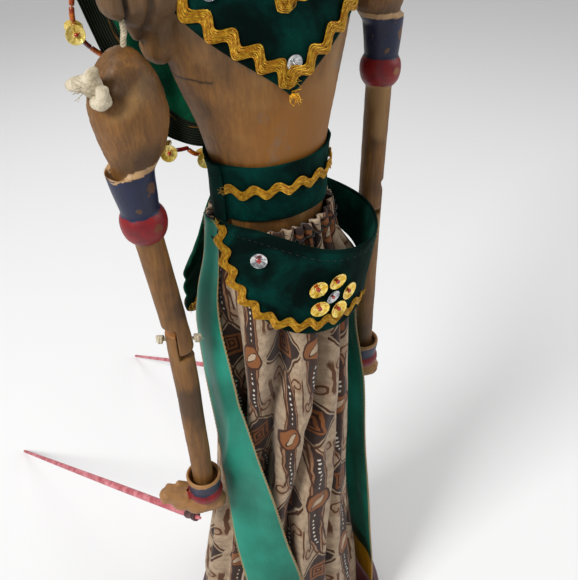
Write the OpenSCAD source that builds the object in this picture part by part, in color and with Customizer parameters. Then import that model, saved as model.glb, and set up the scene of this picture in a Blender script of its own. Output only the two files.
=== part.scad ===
// Wayang golek rod puppet on a turned display base. Millimetres.
// Shared frame: the puppet faces -Y, +Z is up, its right hand is at -X,
// and the origin is the centre of the base's bottom face.

/* [Base and main rod] */
// diameter of the turned base
base_d = 120; // [90:1:180]
// height of the base
base_h = 26; // [16:1:40]
// diameter of the main rod where it runs in the base and the torso
rod_d = 10; // [6:0.5:14]
// radial play of the main rod in its bores
rod_play = 0.1; // [0.02:0.01:0.1]

/* [Body] */
// height of the belt's top edge above the table
belt_top = 350; // [300:1:400]
// height of the velvet belt
belt_h = 25; // [15:1:35]
// how much the shoulder line rises towards the puppet's left
shoulder_slant = 0.15; // [0:0.01:0.2]
// height of the head from chin to crown, without the headdress
head_h = 70; // [55:1:85]

/* [Arms] */
// paint boundary of the right upper arm: x, y, z
band_r = [-61.6, -9.7, 343];
// paint boundary of the left upper arm: x, y, z
band_l = [64.2, 7.9, 369.4];
// lean of the right upper arm about x and y, degrees
lean_r = [0, -6];
// lean of the left upper arm about x and y, degrees
lean_l = [-2, 4];
// length from the paint boundary to the elbow
upper_len = 68; // [50:1:90]
// length from the elbow to the wrist's paint boundary
fore_len = 101; // [80:1:130]
// radius of the arm sticks
stick_r = 5.7; // [4:0.1:8]
// length of the right arm's bulb
bulb_r = 53; // [40:1:60]
// length of the left arm's bulb
bulb_l = 46; // [40:1:60]
// yaw of the elbow cords from the x axis, degrees
elbow_yaw = 30; // [0:1:45]
// direction in which both hands point, degrees from the x axis
hand_yaw = 150; // [90:1:210]

/* [Control rods] */
// far end of the right control rod on the table: x, y
far_r = [-117, 239];
// far end of the left control rod on the table: x, y
far_l = [9, 298];
// thickest diameter of a control rod
crod_d = 4.2; // [3:0.1:6]

/* [Costume] */
// thickness of the velvet pieces
velvet_t = 1.2; // [0.6:0.1:2]
// thickness of the batik cloth
cloth_t = 1.4; // [0.6:0.1:2]
// width of the satin sashes
sash_w = 25; // [15:1:35]
// diameter of the large sequins
sequin_d = 9; // [5:0.5:12]
// width of the zigzag braid
braid_w = 7; // [4:0.5:10]

/* [Hidden] */
wood = [0.50, 0.36, 0.22];
velvet = [0.0, 0.27, 0.22];
gold = [0.85, 0.62, 0.14];
satin = [0.18, 0.61, 0.51];
batik = [0.62, 0.47, 0.36];
blue = [0.17, 0.22, 0.40];
red = [0.62, 0.08, 0.19];
cotton = [0.86, 0.82, 0.74];
rose = [0.80, 0.36, 0.38];
maroon = [0.27, 0.07, 0.08];
$fn = 48;

// ---- smooth rows: T is [key, a, b, ...] in rising key order ----
function seg(T, z, i = 0) = i >= len(T) - 2 || z < T[i + 1][0] ? i : seg(T, z, i + 1);
function slope(T, i, k) = let (a = max(i - 1, 0), b = min(i + 1, len(T) - 1)) (T[b][k] - T[a][k]) / (T[b][0] - T[a][0]);
function herm(a, b, ma, mb, t, h) = (2*t*t*t - 3*t*t + 1) * a + (t*t*t - 2*t*t + t) * h * ma
  + (3*t*t - 2*t*t*t) * b + (t*t*t - t*t) * h * mb;
function at(T, z, k) = let (i = seg(T, z), h = T[i + 1][0] - T[i][0], t = max(0, min(1, (z - T[i][0]) / h)))
  herm(T[i][k], T[i + 1][k], slope(T, i, k), slope(T, i + 1, k), t, h);
function ramp(t) = let (u = max(0, min(1, t))) u * u * (3 - 2 * u);
function range(a, b, n) = [for (i = [0:n]) a + (b - a) * i / n];

// ---- solids from grids of points ----
// rings rise, and each ring runs counterclockwise from above
module loft(R) {
  n = len(R[0]); m = len(R); t = (m - 1) * n;
  polyhedron([for (r = R) each r], concat(
    [for (i = [0:m-2]) for (j = [0:n-1]) let (a = i*n + j, b = i*n + (j+1) % n) each [[a, a+n, b+n], [a, b+n, b]]],
    [for (j = [1:n-2]) [0, j, j+1]], [for (j = [1:n-2]) [t, t+j+1, t+j]]));
}
// A is the outer face and B the inner one; wrapped grids close round the body
module slab(A, B, wrap = false) {
  m = len(A); n = len(A[0]); o = m * n; w = wrap ? n : n - 1;
  polyhedron(concat([for (r = A) each r], [for (r = B) each r]), concat(
    [for (i = [0:m-2]) for (j = [0:w-1]) let (a = i*n + j, b = i*n + (j+1) % n) each
      [[a, a+n, b+n], [a, b+n, b], [o+a, o+b+n, o+a+n], [o+a, o+b, o+b+n]]],
    [for (j = [0:w-1]) let (a = j, b = (j+1) % n, c = (m-1)*n + j, d = (m-1)*n + (j+1) % n) each
      [[a, b, o+b], [a, o+b, o+a], [c, o+d, d], [c, o+c, o+d]]],
    wrap ? [] : [for (i = [0:m-2]) let (a = i*n, b = a + n, c = i*n + n - 1, d = c + n) each
      [[a, o+b, b], [a, o+a, o+b], [c, d, o+d], [c, o+d, o+c]]]));
}
function unit(v) = v / norm(v);
// thin strip of width w along a path, lying on a surface with normals N, raised between t0 and t1
function side_of(P, N, i) = let (a = P[max(i-1, 0)], b = P[min(i+1, len(P)-1)]) unit(cross(N[i], unit(b - a)));
module strip(P, N, w, t0, t1) {
  slab([for (s = [-1, 1]) [for (i = [0:len(P)-1]) P[i] + side_of(P, N, i) * s * w/2 + N[i] * t1]],
       [for (s = [-1, 1]) [for (i = [0:len(P)-1]) P[i] + side_of(P, N, i) * s * w/2 + N[i] * t0]]);
}
module tube(P, r, n = 8) {
  up = [0, 0, 1];
  function fr(i) = let (a = P[max(i-1, 0)], b = P[min(i+1, len(P)-1)], t = unit(b - a),
    u = unit(abs(t * up) > 0.95 ? cross(t, [1, 0, 0]) : cross(t, up)), v = cross(u, t)) [u, v];
  loft([for (i = [0:len(P)-1]) let (f = fr(i)) [for (j = [0:n-1]) P[i] + r * (cos(-360*j/n) * f[0] + sin(-360*j/n) * f[1])]]);
}
module disc_on(p, n, d, t) {
  translate(p) rotate([0, acos(n[2] / norm(n)), atan2(n[1], n[0])]) cylinder(d = d, h = t);
}

// ---- torso surface ----
// height, half width, depth to the front, depth to the back
torso_rows = [[300, 19.5, 15.5, 15], [306, 22.5, 18, 17.5], [325, 24.6, 20.4, 19.6], [338, 24.8, 20.4, 19.4],
  [350, 26, 21.4, 20.4], [365, 29.4, 22.6, 21.4], [380, 33.8, 23.8, 22.4], [392, 37.2, 24.6, 23], [404, 40, 24.8, 23.4],
  [416, 41, 23.8, 23], [428, 40, 21.6, 21.6], [437, 34, 18, 18.4], [443, 24, 14.5, 14.8], [448, 15, 12.4, 12.4]];
function slant(x, z) = z + shoulder_slant * x * ramp((z - belt_top) / 50) * (1 - ramp((z - 432) / 15));
// point on the torso at angle a and nominal height z, raised by o
function tp(a, z, o = 0) = let (x = (at(torso_rows, z, 1) + o) * cos(a),
  y = (at(torso_rows, z, sin(a) < 0 ? 2 : 3) + o) * sin(a)) [x, y, slant(x, z)];
function tn(a, z) = unit(cross(tp(a + 1, z) - tp(a - 1, z), tp(a, z + 0.5) - tp(a, z - 0.5)));

// ---- sarong and hip surfaces ----
// height, half width, half depth, shift in x, shift in y
sarong_rows = [[28.4, 50, 45, -8, -1], [60, 48, 43, -7, -1], [100, 42, 38, -5, -1], [150, 36.5, 33.5, -1, 0], [200, 34.5, 31.5, 1, 0],
  [250, 33.5, 30.5, 1, -0.5], [285, 32, 28.5, 0, -0.5], [305, 29, 25, 0, 0], [320, 27.4, 23.4, 0, 0]];
function sp(a, z, o = 0) = [at(sarong_rows, z, 3) + (at(sarong_rows, z, 1) + o) * cos(a),
  at(sarong_rows, z, 4) + (at(sarong_rows, z, 2) + o) * sin(a), z];
// the hip wrap: rim and lower edge by angle round the body
// angle, rim radius x, rim radius y, rim height, lower height, lower radius x, lower radius y
wrap_rows = [[196, 29.2, 26.8, 324.5, 318, 31, 28], [205, 29.2, 26.8, 324.5, 310, 33, 30], [214, 29.4, 27.4, 324.5, 298, 34.2, 32],
  [233, 30.4, 28.6, 324, 284, 36, 33.4], [253, 33, 32, 320.5, 276, 37.4, 35.6], [280, 39.4, 37, 312.5, 271.5, 39.6, 36.6],
  [305, 45.5, 41, 307.5, 272, 42, 37], [330, 49, 41, 305, 278, 43.4, 37.4], [355, 47.5, 38, 308, 287, 42, 37],
  [380, 40, 35.5, 314.5, 294, 38.6, 36], [402, 33, 31, 320, 300, 35.5, 34.4]];
function wp(a, v, o = 0) = let (rx = at(wrap_rows, a, 1) * (1 - v) + at(wrap_rows, a, 5) * v,
  ry = at(wrap_rows, a, 2) * (1 - v) + at(wrap_rows, a, 6) * v, z = at(wrap_rows, a, 3) * (1 - v) + at(wrap_rows, a, 4) * v)
  [(rx + o) * cos(a), (ry + o) * sin(a), z];
function wn(a, v) = unit(cross(wp(a + 1, v) - wp(a - 1, v), wp(a, v - 0.05) - wp(a, v + 0.05)));

// ---- base, main rod ----
module stand_base() color(maroon) difference() {
  rotate_extrude() polygon([[0, 0], [base_d/2 - 2, 0], [base_d/2, 2], [base_d/2, 8], [base_d/2 - 2.5, 10], [base_d/2 - 2.5, 12],
    [base_d/2, 14.5], [base_d/2 + 0.4, 19], [base_d/2 - 0.6, 23], [base_d/2 - 3.6, base_h], [0, base_h]]);
  translate([0, 0, 5]) cylinder(d = rod_d + 2*rod_play, h = base_h);
}
rod_top = 462;
module main_rod() color(wood) rotate_extrude() polygon([[0, 6], [rod_d/2 - 1.5, 6], [rod_d/2, 8], [rod_d/2, 92], [8.6, 96], [9.8, 104],
  [8.6, 116], [8.8, 150], [10, 196], [10, 208], [8.4, 216], [9.4, 222], [8.4, 228], [rod_d/2, 234], [rod_d/2, rod_top - 1.5], [rod_d/2 - 1.5, rod_top], [0, rod_top]]);

// ---- torso ----
boss_r = [-56.5, -8.8, 419.1];
boss_l = [60, 7.6, 439.5];
// shoulder yoke from the chest to each boss, with a lower swelling at the armpit, grown by o
module yoke(o = 0) {
  hull() { translate(boss_r) sphere(r = 7.4 + o, $fn = 24); translate([-30, 0, 417.5]) sphere(r = 13 + o, $fn = 24); translate([-40, 0, 409]) sphere(r = 7.5 + o, $fn = 24); }
  hull() { translate(boss_l) sphere(r = 7.4 + o, $fn = 24); translate([30, 0, 426.5]) sphere(r = 13 + o, $fn = 24); translate([41, 1, 429]) sphere(r = 7.5 + o, $fn = 24); }
  hull() { translate([-41, 1, 398]) sphere(r = 7 + o, $fn = 24); translate([-30, 0, 405]) sphere(r = 12 + o, $fn = 24); }
  hull() { translate([40, 0, 417]) sphere(r = 7 + o, $fn = 24); translate([30, 0, 420]) sphere(r = 12 + o, $fn = 24); }
}
module torso() color(wood) difference() {
  union() {
    loft([for (z = [300, 302, 304, 306, 312, 318, 325, 332, 340, 348, 356, 364, 372, 380, 388, 396, 404, 410, 416, 422, 428, 433, 437, 440, 443, 446, 448])
      [for (j = [0:47]) tp(j * 7.5, z)]]);
    yoke();
  }
  translate([0, 0, 290]) cylinder(d = rod_d + 2*rod_play, h = 170);
}

// ---- head ----
chin_z = 463;
head_rows = [[0, 7, 9], [0.05, 12, 14], [0.14, 16.5, 20], [0.28, 20.5, 25.5], [0.45, 23, 28.5], [0.6, 24.5, 30], [0.75, 24, 29.5],
  [0.87, 19, 24.5], [0.95, 12, 16], [1, 4, 6]];
function hp(a, u, o = 0) = [(at(head_rows, u, 1) + o) * cos(a), (at(head_rows, u, 2) + o) * sin(a) - 4 * (1 - ramp(u * 1.6)), chin_z + u * head_h];
module head() color(wood) difference() {
  union() {
    loft([for (u = [0, 0.025, 0.05, 0.1, 0.17, 0.25, 0.34, 0.43, 0.52, 0.6, 0.68, 0.76, 0.83, 0.89, 0.94, 0.975, 1]) [for (j = [0:35]) hp(j * 10, u)]]);
    rotate_extrude() polygon([[0, 449], [12, 449], [12.6, 451], [10.6, 455], [9.8, 460], [10, 466], [11.5, 474], [0, 474]]);
    hull() { translate([0, -29, chin_z + 24]) sphere(r = 3, $fn = 20); translate([0, -34.5, chin_z + 27]) sphere(r = 1.8, $fn = 20); translate([0, -28.5, chin_z + 40]) sphere(r = 1.8, $fn = 20); }
    for (s = [-1, 1]) hull() { translate([s * 24, 1, chin_z + 22]) sphere(r = 2.2, $fn = 16); translate([s * 25.5, 2, chin_z + 38]) sphere(r = 3, $fn = 16); translate([s * 25.5, 7, chin_z + 40]) sphere(r = 2.4, $fn = 16); }
  }
  translate([0, 0, 440]) cylinder(d = rod_d, h = rod_top - 440);
}
function dress(u, o) = let (k = ramp((u - 0.66) / 0.54), w = max(0, 1 - pow(max(0, (u - 0.66) / 0.54), 2.2)))
  [for (j = [0:35]) let (a = j * 10) [(7 + 20.4 * w + o) * cos(a), (8 + 24.8 * w + o) * sin(a), chin_z + head_h * u - 5 * (1 - k) * sin(a)]];
module headdress() color(gold) slab([for (u = range(0.66, 1.2, 10)) dress(u, 0)], [for (u = range(0.66, 1.2, 10)) dress(u, -1.6)], true);
module crown_knob() color(red) translate([0, 0, chin_z + head_h * 1.2 + 0.4]) rotate_extrude() polygon([[0, 0], [6.5, 0], [7.5, 2], [5, 5], [4.5, 7], [7, 11], [7.4, 15], [5.5, 19], [2.4, 22], [1.2, 27], [0, 28]]);
module ear_ornament(s) color(gold) translate([s * 28.6, 3, chin_z + 15]) rotate([0, s * 90, 0]) rotate_extrude() polygon([[0, 0], [4.6, 0], [5.6, 1], [4.6, 2.4], [2.2, 3], [1.6, 4.4], [0, 5]]);
module ear_ornament_r() ear_ornament(-1);
module ear_ornament_l() ear_ornament(1);

// ---- collar: a V yoke of velvet over chest, shoulders and back ----
// nominal height of the collar's edge at angle a; its tip hangs a little towards the puppet's right
tip_a = 264.5;
function vee(a) = let (d = abs(a - tip_a), top = a < tip_a ? 429 : 409)
  d < 78 ? 379 + (top - 379) * pow(d / 78, 0.94) : top - (top - 396) * ramp((d - 78) / 40);
neck_z = 445;
function cp(a, v, o) = let (z0 = min(vee(a < 90 ? a + 360 : a), 430)) tp(a, z0 + (neck_z - z0) * v, o);
module collar() color(velvet) difference() {
  slab([for (v = range(0, 1, 10)) [for (j = [0:47]) cp(90.01 + j * 7.5, v, 0.6 + velvet_t)]],
    [for (v = range(0, 1, 10)) [for (j = [0:47]) cp(90.01 + j * 7.5, v, 0.6)]], true);
  yoke(0.35);
}
function wav(i, n, amp) = amp * sin(i * 360 / n);
module collar_line(d, w, off, n)
  strip([for (a = range(tip_a - d, tip_a + d, n)) tp(a, vee(a) + off, 0.9 + velvet_t)], [for (a = range(tip_a - d, tip_a + d, n)) tn(a, vee(a) + off)], w, 0.2, 1.1);
module collar_braid() color(gold) collar_line(52, braid_w, 6, 40);
module collar_inner_braid() color(gold) collar_line(40, braid_w * 0.8, 33, 24);
module collar_sequins() color([0.75, 0.77, 0.78]) for (q = [[266, 392], [228, 423], [304, 414]])
  disc_on(tp(q[0], q[1], 2.4), tn(q[0], q[1]), sequin_d * 0.72, 0.6);

// ---- cape ----
function cape_y(x, z) = 27.5 + 6 * ramp((abs(x) - 18) / 45) + (z < 380 ? (380 - z) * 0.03 : 0);
cape_half = 58;
function cape_lo(x) = 340 + 65 * pow(abs(x) / 56, 3.4);
function cape_hi(x) = 437 - 13 * pow(abs(x) / 62, 2) + shoulder_slant * x;
function cape_pt(x, v) = let (z = cape_lo(x) + (cape_hi(x) - cape_lo(x)) * v) [x, cape_y(x, z), z];
module cape() color(velvet) slab(
  [for (v = range(0, 1, 8)) [for (t = range(1, -1, 26)) cape_pt(edge_x(t), v) + [0, velvet_t, 0]]],
  [for (v = range(0, 1, 8)) [for (t = range(1, -1, 26)) cape_pt(edge_x(t), v)]]);
// the lower edge: t runs from -1 to 1 along it, and the bead string hangs from it in loops of depth d
function edge_x(t) = cape_half * sign(t) * pow(abs(t), 0.55);
function edge_pt(t, d) = let (x = edge_x(t), g = sign(x) * 65 * 3.4 / 56 * pow(abs(x) / 56, 2.4), k = d / sqrt(1 + g * g))
  [x + g * k, cape_y(x, cape_lo(x)) - 2.4, cape_lo(x) - k];
module cape_beads() color([0.62, 0.20, 0.08]) tube([for (t = range(-1, 1, 80)) edge_pt(t, 1.2 + 5.5 * abs(sin(900 * t)))], 0.8, 6);
module cape_sequins() color(gold) for (t = [-0.9, -0.7, -0.5, -0.3, -0.1, 0.1, 0.3, 0.5, 0.7, 0.9])
  translate(edge_pt(t, 7.6) + [0, -1.5, 0]) rotate([90, 0, 0]) cylinder(d = sequin_d * 0.8, h = 0.8, $fn = 24);

// ---- waist belt ----
module waist_belt() color(velvet) slab(
  [for (z = range(belt_top - belt_h, belt_top, 4)) [for (j = [0:47]) tp(j * 7.5, z, 0.5 + velvet_t)]],
  [for (z = range(belt_top - belt_h, belt_top, 4)) [for (j = [0:47]) tp(j * 7.5, z, 0.5)]], true);
belt_mid = belt_top - belt_h * 0.42;
module belt_braid() color(gold) let (A = range(185, 365, 40))
  strip([for (a = A) tp(a, belt_mid + 1.6 * sin(a * 14), 0.8 + velvet_t)], [for (a = A) tn(a, belt_mid)], braid_w, 0, 0.9);

// ---- hip wrap with its braid ----
wrap_a = range(196, 402, 40);
module hip_wrap() color(velvet) slab(
  [for (v = range(1, 0, 5)) [for (a = wrap_a) wp(a, v, velvet_t)]],
  [for (v = range(1, 0, 5)) [for (a = wrap_a) wp(a, v, 0)]]);
module hip_braid() color(gold) let (A = range(199, 308, 34))
  strip([for (a = A) wp(a, 0.88, velvet_t + 0.3)], [for (a = A) wn(a, 0.88)], braid_w, 0, 0.9);
flower = [279.5, 0.49];
module flower_sequins() color(gold) for (k = [0:4]) let (a = flower[0] + 11.8 * cos(k * 72 - 3), v = flower[1] + 0.2 * sin(k * 72 - 3))
  disc_on(wp(a, v, velvet_t + 0.35), wn(a, v), sequin_d * 0.9, 0.6);
module silver_sequins() color([0.75, 0.77, 0.78]) {
  disc_on(wp(flower[0], flower[1], velvet_t + 0.35), wn(flower[0], flower[1]), sequin_d * 0.72, 0.6);
  disc_on(wp(232, 0.24, velvet_t + 0.35), wn(232, 0.24), sequin_d * 0.8, 0.6);
}
module seed_beads() color(red) {
  for (k = [0:4]) let (a = flower[0] + 11.8 * cos(k * 72 - 3), v = flower[1] + 0.2 * sin(k * 72 - 3))
    disc_on(wp(a, v, velvet_t + 1.3), wn(a, v), 2, 1);
  disc_on(wp(flower[0], flower[1], velvet_t + 1.3), wn(flower[0], flower[1]), 2, 1);
  disc_on(wp(232, 0.24, velvet_t + 1.3), wn(232, 0.24), 2, 1);
}

// ---- sarong: a closed tube of batik round the hips, open below for the puppeteer's hand ----
module sarong() color(batik) let (Z = [28.4, 60, 100, 135, 170, 210, 250, 270, 287, 300, 310, 320]) slab(
  [for (z = Z) [for (j = [0:44]) sp(j * 8, z, 0)]], [for (z = Z) [for (j = [0:44]) sp(j * 8, z, -cloth_t)]], true);
module waist_cord() color([0.09, 0.08, 0.08]) tube([for (a = range(0, 354, 36)) sp(a, 315, 0.95)], 0.8, 6);

// ---- satin sashes ----
// height, angle round the body, distance beyond the sarong, half width as an angle, how much the rear edge stands out
sash_r_rows = [[40, 243, 3, 17, 0], [95, 237, 3.2, 20, 0], [133, 223, 4, 20.5, 0], [165, 213, 4.6, 20.5, 0], [200, 203, 5.6, 18.5, 0],
  [235, 193, 6.6, 17.5, 0], [268, 187, 7, 16.5, 0], [284, 184, 5, 14.5, 0], [300, 182, 2.7, 13.5, 0], [318, 182, 2.1, 12.5, 0]];
sash_l_rows = [[28.6, -20, 7.4, 17, -3.5], [64, -18, 7.8, 17, -3.7], [112, -17, 8.4, 16, -4.8], [165, -15, 7.7, 15, -4.3], [205, -14, 6.5, 14, -3.3],
  [225, -9, 5.6, 15, -1.4], [240, 0, 5.6, 17, 0], [264, 12, 7, 20, 0], [282, 15, 5, 19, 0], [300, 16, 2.7, 18, 0], [318, 16, 2.1, 16, 0]];
module sash(T, s) let (Z = range(T[0][0], T[len(T)-1][0], 18), A = range(-1, 1, 6)) slab(
  [for (z = Z) [for (k = A) sp(at(T, z, 1) + k * at(T, z, 3), z, at(T, z, 2) + k * at(T, z, 4) + 0.8)]],
  [for (z = Z) [for (k = A) sp(at(T, z, 1) + k * at(T, z, 3), z, at(T, z, 2) + k * at(T, z, 4))]]);
module sash_r() color(satin) sash(sash_r_rows);
module sash_l() color(satin) sash(sash_l_rows);

// ---- tail panel behind the hips ----
function tailp(a, v, o) = let (z = 322 - 74 * v, k = 6.6 + 1.5 * v) sp(a, z, k + o) + [0, 1.2 + 3 * v, 0];
tail_a = range(47, 133, 20);
module tail_panel() color(velvet) slab([for (v = range(1, 0, 8)) [for (a = tail_a) tailp(a, v, velvet_t)]],
  [for (v = range(1, 0, 8)) [for (a = tail_a) tailp(a, v, 0)]]);
module tail_braid() color(gold) slab([for (v = [0.97, 0.89]) [for (a = tail_a) tailp(a, v, velvet_t + 1.2)]],
  [for (v = [0.97, 0.89]) [for (a = tail_a) tailp(a, v, velvet_t + 0.3)]]);
module tail_beads() color(gold) for (a = [50, 70, 90, 110, 130]) translate(tailp(a, 1.05, 0.4)) sphere(r = 1.7, $fn = 24);

// ---- arms ----
function rx(t) = [[1, 0, 0], [0, cos(t), -sin(t)], [0, sin(t), cos(t)]];
function ry(t) = [[cos(t), 0, sin(t)], [0, 1, 0], [-sin(t), 0, cos(t)]];
elbow_r = band_r + ry(lean_r[1]) * rx(lean_r[0]) * [0, 0, -upper_len];
elbow_l = band_l + ry(lean_l[1]) * rx(lean_l[0]) * [0, 0, -upper_len];
wrist_r = elbow_r + ry(-1) * [0, 0, -fore_len];
wrist_l = elbow_l + ry(1) * [0, 0, -fore_len];
lap = 9; // distance from the elbow cord to the step of each lap joint
bulb_prof = [[0, 0], [5.6, 0], [6.3, 3], [7.2, 7], [9.4, 13], [11.4, 19], [12.7, 26], [13, 32], [12.4, 38], [11, 43], [8.6, 47.6], [5.4, 51], [2.4, 52.7], [0, 53]];
module bent(band, lean) translate(band) rotate([lean[0], lean[1], 0]) children();
// keeps one half of the lap joint free: s is the side, lo and hi the height round the cord
module lap_cut(e, yaw, s, lo, hi) translate(e) rotate([0, 0, yaw]) translate([s > 0 ? -0.2 : -19.8, -12, lo]) cube([20, 24, hi - lo]);
module elbow_bore(e, yaw, d) translate(e) rotate([0, 0, yaw]) rotate([0, 90, 0]) translate([0, 0, -20]) cylinder(d = d, h = 40);
module upper_arm(band, lean, e, s, len, yaw) color(wood) difference() {
  union() {
    bent(band, lean) translate([0, 0, 9]) rotate([0, -s * 11, 0]) rotate_extrude() polygon([for (p = bulb_prof) [p[0], p[1] * len / 53]]);
    bent(band, lean) color(blue) rotate_extrude() polygon([[0, 0], [7.3, 0], [8, 6], [9, 15], [9.2, 18.6], [8.8, 19], [7.9, 18.6], [7.4, 14], [6, 12], [0, 12]]);
    bent(band, lean) color(red) rotate_extrude() polygon([[0, 0.5], [7.2, 0.5], [8.6, -1.6], [9.2, -5], [9, -8.4], [7.6, -11.4], [5.6, -13], [0, -13]]);
    bent(band, lean) translate([0, 0, -upper_len - 6]) cylinder(r1 = stick_r, r2 = stick_r + 0.2, h = upper_len);
  }
  lap_cut(e, yaw, 1, -16, lap);
  elbow_bore(e, yaw, 2.4);
}
module forearm(e, s, yaw) color(wood) difference() {
  union() {
    translate(e) rotate([0, s, 0]) translate([0, 0, -fore_len + 3]) cylinder(r1 = 5.2, r2 = stick_r, h = fore_len + 2);
    translate(e) rotate([0, s, 0]) translate([0, 0, -fore_len - 4]) cylinder(r = 2, h = 10);
  }
  lap_cut(e, yaw, -1, -lap, 16);
  elbow_bore(e, yaw, 2.4);
}
module hand(w, s) color(wood) difference() {
  translate(w) rotate([0, 0, hand_yaw]) union() {
    color(blue) rotate_extrude() polygon([[0, 0], [7.6, 0], [8, 3], [8.8, 7.6], [8.9, 9.6], [8.4, 10], [7, 9.4], [6.4, 2], [0, 2]]);
    color(red) rotate_extrude() polygon([[0, 0.5], [7.6, 0.5], [8.8, -1.4], [8.9, -4], [7.4, -6.6], [0, -6.6]]);
    hull() { translate([-3, 0, -9]) sphere(r = 6.4, $fn = 28); translate([-7.5, 0, -11]) sphere(r = 2.4, $fn = 20); translate([5, 0, -13]) sphere(r = 6.2, $fn = 28);
      translate([14, 0, -10.5]) sphere(r = 5.6, $fn = 28); }
    hull() { translate([12, 0, -8]) sphere(r = 5.6, $fn = 24); translate([21, -2, -4.6]) sphere(r = 4.4, $fn = 24); translate([21.5, 2.4, -5]) sphere(r = 4.2, $fn = 24); translate([22, 1, -9]) sphere(r = 4, $fn = 24); }
  }
  translate(w) rotate([0, s, 0]) translate([0, 0, -5]) cylinder(r = 2.05, h = 10);
  translate(w + tie_off - [0, 0, 30]) cylinder(d = 1.8, h = 40);
}
tie_off = 9 * [cos(hand_yaw), sin(hand_yaw), 0];
tie_drop = 24.4;
module upper_arm_r() upper_arm(band_r, lean_r, elbow_r, -1, bulb_r, 180 - elbow_yaw);
module upper_arm_l() upper_arm(band_l, lean_l, elbow_l, 1, bulb_l, elbow_yaw);
module forearm_r() forearm(elbow_r, -1, 180 - elbow_yaw);
module forearm_l() forearm(elbow_l, 1, elbow_yaw);
module hand_r() hand(wrist_r, -1);
module hand_l() hand(wrist_l, 1);
module elbow_cord(e, yaw) color(cotton) translate(e) rotate([0, 0, yaw]) rotate([0, 90, 0]) {
  translate([0, 0, -8.4]) cylinder(d = 2.2, h = 16.8);
  for (s = [-1, 1]) translate([0, 0, s * 8.6]) sphere(r = 2.3);
}
module elbow_cord_r() elbow_cord(elbow_r, 180 - elbow_yaw);
module elbow_cord_l() elbow_cord(elbow_l, elbow_yaw);
// shoulder pivots sit in the gap between the boss and the top of the bulb
pivot_r = [-56.6, -9.3, 407.9];
pivot_l = [60, 8.2, 428.3];
module shoulder_cord(p) color(cotton) translate(p) { translate([0, 0, -1.6]) cylinder(d = 2.2, h = 2.8); }
module shoulder_cord_r() shoulder_cord(pivot_r);
module shoulder_cord_l() shoulder_cord(pivot_l);
module shoulder_knot(band, lean, s) color(cotton) bent(band, lean) translate([0, 0, 9]) rotate([0, -s * 11, 0])
  rotate([0, 0, s * -22]) translate([s * 12.7, 0, 38]) rotate([0, s * 90, 0]) rotate_extrude() polygon([[0, 0], [2.2, 0], [3.8, 1.6], [4.4, 3.6], [3.8, 6], [2.2, 7.8], [0, 8.4]]);
module shoulder_knot_r() shoulder_knot(band_r, lean_r, -1);
module shoulder_knot_l() shoulder_knot(band_l, lean_l, 1);

// ---- control rods ----
hang_r = wrist_r + tie_off - [0, 0, tie_drop];
hang_l = wrist_l + tie_off - [0, 0, tie_drop];
module rod_tie(h) color(maroon) { translate(h + [0, 0, 4.1]) cylinder(d = 1.6, h = 8.6); translate(h + [0, 0, 4.8]) sphere(r = 1.2); }
module rod_tie_r() rod_tie(hang_r);
module rod_tie_l() rod_tie(hang_l);
module control_rod(h, far) color(rose) let (v = [far[0], far[1], 1.4] - h, l = norm(v))
  translate(h) rotate([0, acos(v[2] / l), atan2(v[1], v[0])]) rotate_extrude() polygon([[0, -8], [0.7, -8], [1.2, -5], [1.7, 0], [crod_d/2, 14],
    [crod_d/2, l * 0.35], [1.6, l * 0.75], [1.1, l - 2], [0.5, l], [0, l]]);
module control_rod_r() control_rod(hang_r, far_r);
module control_rod_l() control_rod(hang_l, far_l);

stand_base();
main_rod();
torso();
head();
headdress();
crown_knob();
ear_ornament_r();
ear_ornament_l();
collar();
collar_braid();
collar_inner_braid();
collar_sequins();
cape();
cape_beads();
cape_sequins();
waist_belt();
belt_braid();
hip_wrap();
hip_braid();
flower_sequins();
silver_sequins();
seed_beads();
sarong();
waist_cord();
sash_r();
sash_l();
tail_panel();
tail_braid();
tail_beads();
shoulder_cord_r();
shoulder_cord_l();
upper_arm_r();
upper_arm_l();
shoulder_knot_r();
shoulder_knot_l();
elbow_cord_r();
elbow_cord_l();
forearm_r();
forearm_l();
hand_r();
hand_l();
rod_tie_r();
rod_tie_l();
control_rod_r();
control_rod_l();
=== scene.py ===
import math
import bpy
import numpy as np
from numpy import arange, array, clip, cos, cross, exp, linspace
from numpy import maximum, minimum, pi, sin, sqrt, stack, where
from mathutils import Vector, Matrix

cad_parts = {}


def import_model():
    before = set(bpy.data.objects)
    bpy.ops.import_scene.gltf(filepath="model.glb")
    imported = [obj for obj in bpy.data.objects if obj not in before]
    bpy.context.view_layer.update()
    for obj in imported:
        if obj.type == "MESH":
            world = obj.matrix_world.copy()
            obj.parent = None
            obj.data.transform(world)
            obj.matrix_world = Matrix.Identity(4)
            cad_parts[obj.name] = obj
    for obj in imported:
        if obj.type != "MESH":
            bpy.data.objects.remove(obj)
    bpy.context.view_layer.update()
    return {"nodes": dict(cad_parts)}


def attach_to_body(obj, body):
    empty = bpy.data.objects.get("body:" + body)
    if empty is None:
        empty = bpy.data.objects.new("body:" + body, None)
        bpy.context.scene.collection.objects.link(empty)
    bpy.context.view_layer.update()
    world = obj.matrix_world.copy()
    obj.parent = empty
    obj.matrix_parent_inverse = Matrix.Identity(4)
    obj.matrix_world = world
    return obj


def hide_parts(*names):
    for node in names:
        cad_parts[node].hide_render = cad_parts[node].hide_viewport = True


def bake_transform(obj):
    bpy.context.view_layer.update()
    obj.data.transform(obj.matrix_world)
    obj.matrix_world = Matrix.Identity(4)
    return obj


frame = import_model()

MM = 0.001
rng = np.random.default_rng(11)
rad = np.radians


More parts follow.
